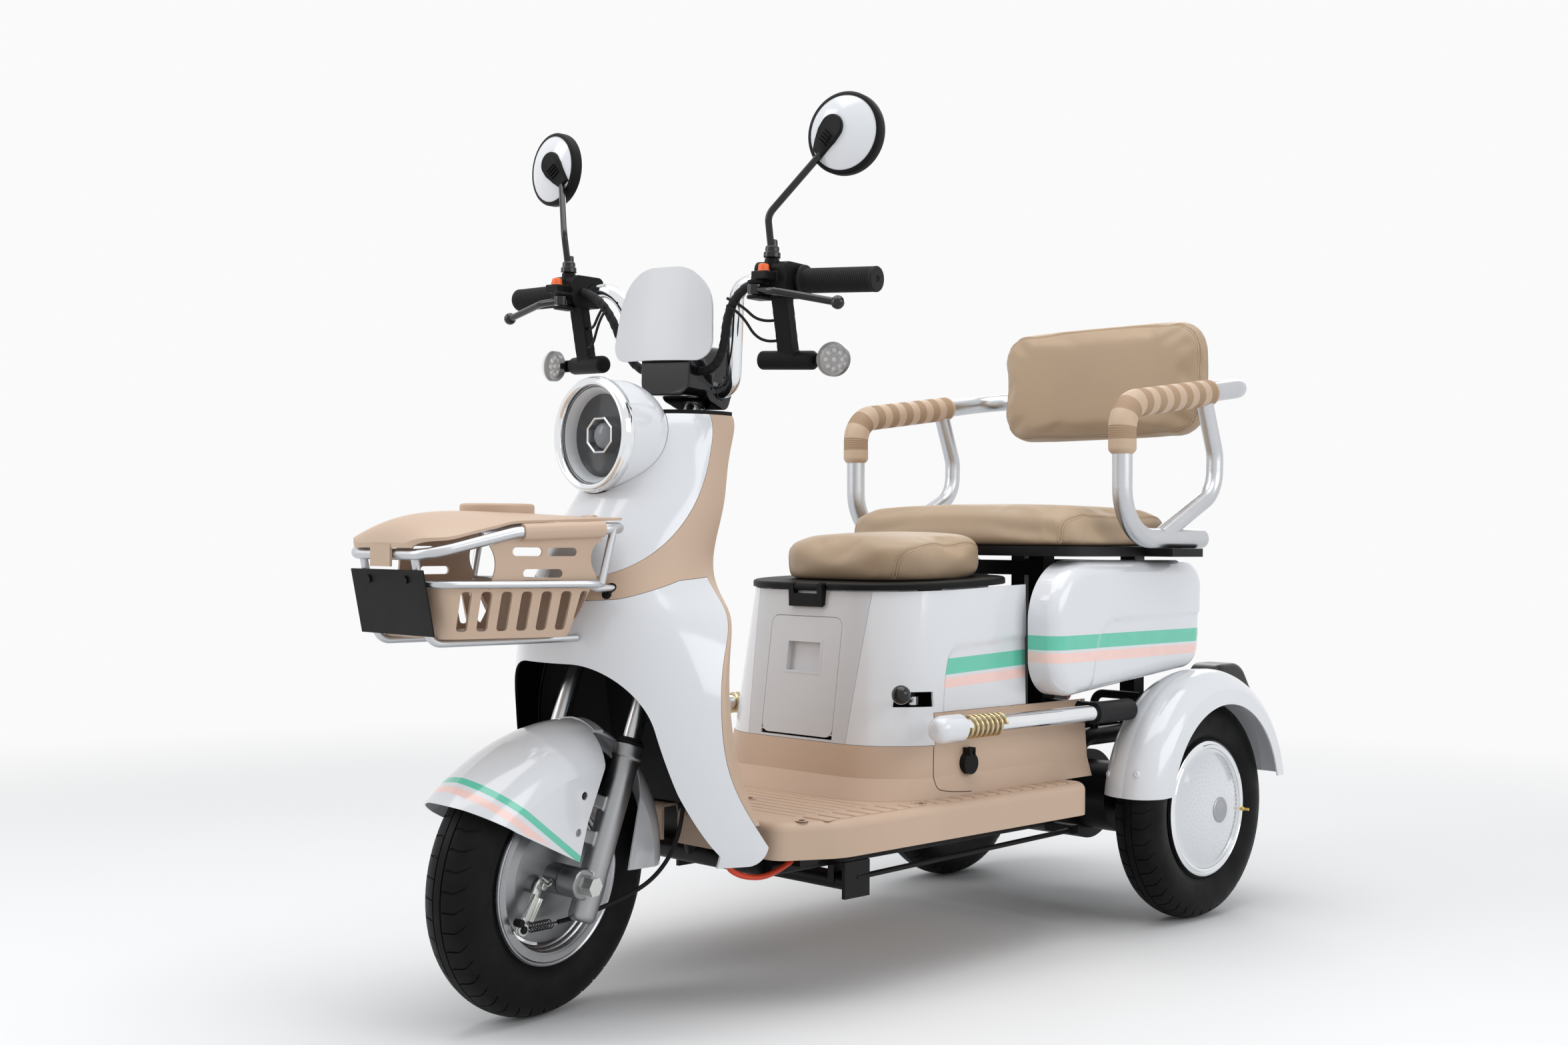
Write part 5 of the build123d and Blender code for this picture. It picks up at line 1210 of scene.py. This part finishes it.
leads = []
for drop, end in ((-24, -52), (-34, -80)):
    lead = spline([
        (BAR_X + 22, 116, BAR_Z + drop), (BAR_X + 14, 134, BAR_Z + drop - 8), (BAR_X + 2, 160, BAR_Z + end - 6),
        (BAR_X - 11, 182, BAR_Z + end),
    ])
    leads.append(tube(resampled(lead, 2.0), 2.0, 12))
wrapped_bundle = tube(resampled(spline(bundle), 1.2), wrapped, 24)
pair("cable_bundle", wrapped_bundle, black_rubber, "steering", BARRED, replaces="handlebar_cables", sharp=50)
pair("lamp_leads", joined(*leads), black_rubber, "steering", BARRED)

# Front brake cable in two curved lengths, its wire and return spring
ARM_TURN, ARM_REACH = 32, 60
CAM = Vector((WHEELBASE + 40, 0, TYRE_RADIUS - 2))
COILS, COIL_STEPS, COIL_RADIUS, COIL_PITCH = 8, 16, 6, 5
MIDWAY = Vector((FX - 157, 76, 172))
arm_turn = math.radians(ARM_TURN)
arm_tip = CAM + Vector((ARM_REACH * math.sin(arm_turn), 40, -ARM_REACH * math.cos(arm_turn)))
wire_start = STEERED @ (arm_tip - Vector((11, 0, 0)))
casing_start = STEERED @ Vector((WHEELBASE + 4, 40, TYRE_RADIUS - 55))
casing = resampled(spline([
    casing_start, STEERED @ Vector((WHEELBASE - 38, 44, TYRE_RADIUS - 54)), (FX - 118, 60, 148), MIDWAY,
    (FX - 185, 86, 215), (FX - 195, 88, 270), (FX - 206, 88, 322), (FX - 233.1, 88, 344),
]), 2.5)
split = min(range(len(casing)), key=lambda i: (casing[i] - MIDWAY).length)
lower = mesh_piece("brake_cable_lower", tube(casing[:split + 1], 3, 16), black_rubber, None,
                   replaces="front_brake_cable")
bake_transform(lower)
upper = mesh_piece("brake_cable_upper", tube(casing[split:], 3, 16), black_rubber, None)
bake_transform(upper)
wire_line = (casing_start - wire_start).normalized()
across = wire_line.cross(Vector((0, 0, 1))).normalized()
over = across.cross(wire_line)
coil = []
for i in range(COILS * COIL_STEPS + 1):
    turns = i / COIL_STEPS
    aside, up = polar(COIL_RADIUS, turns)
    coil.append(wire_start + wire_line * (2.2 + COIL_PITCH * turns) + across * aside + over * up)
spring = joined(tube(coil, 0.8, 8), tube([wire_start, casing_start], 1.2, 10))
spring_piece = mesh_piece("brake_spring", spring, black_gloss, None, sharp=60)
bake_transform(spring_piece)

# Front brake arm: a plate with folded edges, a clamp bolt and two barrel ends
ARM = STEERED @ at(*CAM) @ spun("Y", -ARM_TURN)
arm_outline = half_round(10, 0, 12) + [(-8.4, -16), (-7, -44), (-6, -52), (6, -52), (7, -44), (8.4, -16)]
arm_plate = moved(plate(arm_outline, 3, 0.6), at(0, 37, 0))
folds = [block((x - 0.8, 38, -46), (x + 0.8, 45, -14), 0.5) for x in (-7.6, 7.6)]
eye_ring = lathe([(5.4, 34), (8, 34), (8.4, 34.6), (8.4, 37.4), (8, 38), (5.4, 38), (5.4, 34)], 32)
yoke = [moved(eye_ring, at(0, y, -ARM_REACH)) for y in (1, 5.6)]
cam_end = lathe([(0, 47), (4.2, 47), (5, 46.2), (5, 40)], 24)
clamp_bolt = moved(hex_bolt(4.2, 4), at(-9, 41, 9) @ spun("Z", 90))
clamp_stem = tube([(-9, 41, 9), (9, 41, 9)], 2.6, 16)
arm_metal = joined(arm_plate, *folds, *yoke, cam_end, clamp_bolt, clamp_stem)
mesh_piece("brake_arm_plate", moved(arm_metal, ARM), zinc, "front_brake_arm_body", replaces="front_brake_arm")
barrel = lathe([(0, 46.6), (3.6, 46.4), (5, 45.4), (5.2, 44), (5.2, 34.4), (4.4, 33.4), (0, 33.4)], 32)
barrels = joined(moved(barrel, at(0, 0, -ARM_REACH)), moved(barrel, at(9.6, 0, -55)))
mesh_piece("brake_arm_barrels", moved(barrels, ARM), black_plastic, "front_brake_arm_body")

# Battery with its orange lead
battery = joined(block((400, -108, 250.3), (590, 108, 470), 9, 4), block((430, -70, 469), (560, 70, 470.4), 0.6))
mesh_piece("battery_case", battery, black_plastic, replaces="battery_pack")
LEAD_Y = 166
lead = spline([
    (FX - 262, LEAD_Y, 241.8), (FX - 240, LEAD_Y, 226), (FX - 206, LEAD_Y, 215), (FX - 200, LEAD_Y, 192),
    (FX - 232, LEAD_Y, 174), (FX - 286, LEAD_Y, 168), (FX - 325, LEAD_Y, 185.3),
])
mesh_piece("battery_lead", tube(resampled(lead, 3.0), 4, 16), orange_lead)

# Bumper tubes with white end caps
BUMPER_Y, BUMPER_Z = 250, 357
cap_round = [(13.2, 0), (19, 0), (20, 1), (20, 38)]
for i in range(1, 10):
    out, rise = polar(1, i / 40)
    cap_round.append((6 + 14 * out, 38 + 20 * rise))
cap_round += [(5.6, 58), (0, 58)]
bumper = tube([(x, BUMPER_Y, BUMPER_Z) for x in (634, 400, 166)], 13, 40)
pair("bumper_bar", bumper, chrome, replaces="bumper_tubes")
pair("bumper_cap", lathe(cap_round, 64), white_gloss, local=at(596, BUMPER_Y, BUMPER_Z) @ spun("Z", -90))

# Dust seals on the sliders, and fender bolts behind the upper holes
seal = lathe([
    (13.3, 192.4), (18.4, 192.4), (18.8, 193.2), (18.4, 195.4), (16.2, 196.6), (15.8, 199.4), (14.6, 200.6),
    (13.3, 200.6), (13.3, 192.4),
], 48)
seal_at = at(LEG_AHEAD, LEG_HALF, 0) @ spun("X", 90)
pair("dust_seal", seal, black_rubber, "fork_lower", out_of_fork, seal_at)
bolt_at = at(WHEELBASE - 1, 67.6, TYRE_RADIUS + 114)
pair("fender_bolt", hex_bolt(3.6, 3), black_gloss, "fork_lower", STEERED, bolt_at)

# Rear fender bolts, collar plugs
for name, place, facing, shape, finish in (
    ("fender_screw_a", (202.6, 238.9, 254.5), (0.82, -0.53, 0.24), screw(5.5, 3), white_gloss),
    ("fender_screw_b", (210.3, 297.1, 259.9), (0.92, 0.27, 0.28), screw(5.5, 3), white_gloss),
    ("collar_screw", (1119.8, 83.6, 554), (0.75, 0.58, 0.31), screw(6.5, 2.4), black_plastic),
):
    pair(name, shape, finish, local=standing(place, facing))

# Floor: raised pads along both edges, fine ribs ahead of the seat box, screw heads in round seats
FLOOR_TOP = 250
PADS, PAD_PITCH = 20, 29
RIBS, RIB_PITCH = 8, 20.5
pads = []
for i in range(PADS):
    x = 306 + PAD_PITCH * i
    inner = -216 if x < 700 else -198
    pads.append(plate(rounded((x - 12, -245), (x + 12, inner), 5), 1.8, 0.6))
ribs = []
for i in range(RIBS):
    x = 726 + RIB_PITCH * i
    ribs.append(plate(rounded((x - 1.6, -186), (x + 1.6, 186), 1.4, 3), 0.9, 0.4))
other_pads = [moved(pad, Matrix.Diagonal((1, 1, -1, 1))) for pad in pads]
floor_relief = moved(joined(*pads, *other_pads, *ribs), at(0, 0, FLOOR_TOP - 0.2) @ spun("X", 90))
mesh_piece("floor_relief", floor_relief, tan_floor)
seat_ring = lathe([(0, 0.1), (6.6, 0.1), (7.2, 0.7), (8.6, 0.7), (9.2, 0.1)], 32)
screw_spots = [(893.5, 222), (658.4, 231), (804, 29.5)]
screw_spots += [(x, -y) for x, y in screw_spots]
for name, shape, lift, finish in (
    ("floor_screw_seats", seat_ring, 0.9, tan_floor), ("floor_screws", screw(4.6, 1.4), 0.8, seam_shadow),
):
    placed = [moved(shape, at(x, y, FLOOR_TOP + lift) @ spun("X", 90)) for x, y in screw_spots]
    mesh_piece(name, joined(*placed), finish)

# Seams of the seat-box base
seam_line = spline([(591, 198, 325), (595, 200, 296), (597, 204.6, 272), (592, 210.4, 258), (520, 212, 254)])
seam_tree = BVHTree.FromObject(nodes["seat_box_base"], bpy.context.evaluated_depsgraph_get())
seam = tube([station(seam_tree.find_nearest(row(p))[0]) for p in resampled(seam_line, 4)], 0.7, 8)
mesh_piece("base_seams", joined(seam, moved(seam, FLIP)), seam_shadow)

# Studio
BACKDROP = (0.955, 0.955, 0.958, 1.0)
GROUND_NEAR, GROUND_FAR = 1.1, 3.6
floor_mesh = bpy.data.meshes.new("floor")
floor_shape = lathe([(0, 0), (1, 0), (2.5, 0), (5, 0), (14, 0)], 64)
floor_mesh.from_pydata([Vector((p.x, p.z, -0.0005)) for p in floor_shape[0]], [], floor_shape[1])
floor = bpy.data.objects.new("floor", floor_mesh)
scene.collection.objects.link(floor)

ground = bpy.data.materials.new("pale floor")
tree = cleared(ground)
coords = add_node(tree, "TexCoord")
reach = add_node(tree, "VectorMath", {0: coords.outputs["Object"]}, operation="LENGTH")
fade_range = {"Value": reach.outputs["Value"], "From Min": GROUND_NEAR, "From Max": GROUND_FAR}
fade = add_node(tree, "MapRange", fade_range, interpolation_type="SMOOTHSTEP")
near = add_node(tree, "BsdfDiffuse", {"Color": (0.86, 0.86, 0.862, 1)})
far = add_node(tree, "Emission", {"Color": BACKDROP})
blend_in = add_node(tree, "MixShader", {0: fade.outputs[0], 1: near.outputs[0], 2: far.outputs[0]})
add_node(tree, "OutputMaterial", {0: blend_in.outputs[0]})
floor_mesh.materials.append(ground)

world = bpy.data.worlds.new("studio")
scene.world = world
tree = cleared(world)
rays = add_node(tree, "LightPath").outputs
straight = {0: rays["Is Camera Ray"], 1: rays["Is Transmission Ray"]}
direct = add_node(tree, "Math", straight, operation="MAXIMUM")
shown = add_node(tree, "Math", {0: direct.outputs[0], 1: rays["Is Glossy Ray"]}, operation="MAXIMUM")
lit = add_node(tree, "Background", {"Color": (0.94, 0.97, 1.0, 1), "Strength": 0.5})
seen = add_node(tree, "Background", {"Color": BACKDROP})
choose = add_node(tree, "MixShader", {0: shown.outputs[0], 1: lit.outputs[0], 2: seen.outputs[0]})
add_node(tree, "OutputWorld", {0: choose.outputs[0]})


def softbox(name, place, aim, wide, tall, power):
    lamp = bpy.data.lights.new(name, "AREA")
    lamp.shape = "RECTANGLE"
    lamp.size = wide
    lamp.size_y = tall
    lamp.energy = power
    obj = bpy.data.objects.new(name, lamp)
    obj.location = place
    obj.rotation_euler = (Vector(aim) - Vector(place)).to_track_quat("-Z", "Y").to_euler()
    scene.collection.objects.link(obj)


softbox("top", (0.3, 0.2, 3.2), (0, 0, 0.5), 3.2, 2.6, 60)
softbox("key", (2.6, -1.6, 2.2), (0, 0, 0.55), 1.2, 2.2, 24)
softbox("side", (-0.4, 3.4, 1.8), (0, 0, 0.5), 2.6, 1.4, 27)
softbox("back", (-2.8, -1.4, 2.2), (0, 0, 0.6), 1.6, 1.6, 18)

# Camera at the photograph's viewing angle
FOCAL_PIXELS, PHOTO_WIDTH, SENSOR = 2628.4, 2352, 36
CAMERA_AT = (2.0135, 1.865, 0.626)
yaw, pitch, roll = math.radians(44.94), math.radians(0.60), math.radians(0.46)
ahead = Vector((-math.cos(yaw) * math.cos(pitch), -math.sin(yaw) * math.cos(pitch), math.sin(pitch)))
level = ahead.cross(Vector((0, 0, 1))).normalized()
upright = level.cross(ahead)
right = level * math.cos(roll) + upright * math.sin(roll)
up = upright * math.cos(roll) - level * math.sin(roll)
lens = bpy.data.cameras.new("camera")
lens.sensor_width = SENSOR
lens.lens = FOCAL_PIXELS * SENSOR / PHOTO_WIDTH
lens.clip_end = 60
camera = bpy.data.objects.new("camera", lens)
camera.matrix_world = at(*CAMERA_AT) @ Matrix((right, up, -ahead)).transposed().to_4x4()
scene.collection.objects.link(camera)
scene.camera = camera

scene.view_settings.view_transform = "Standard"
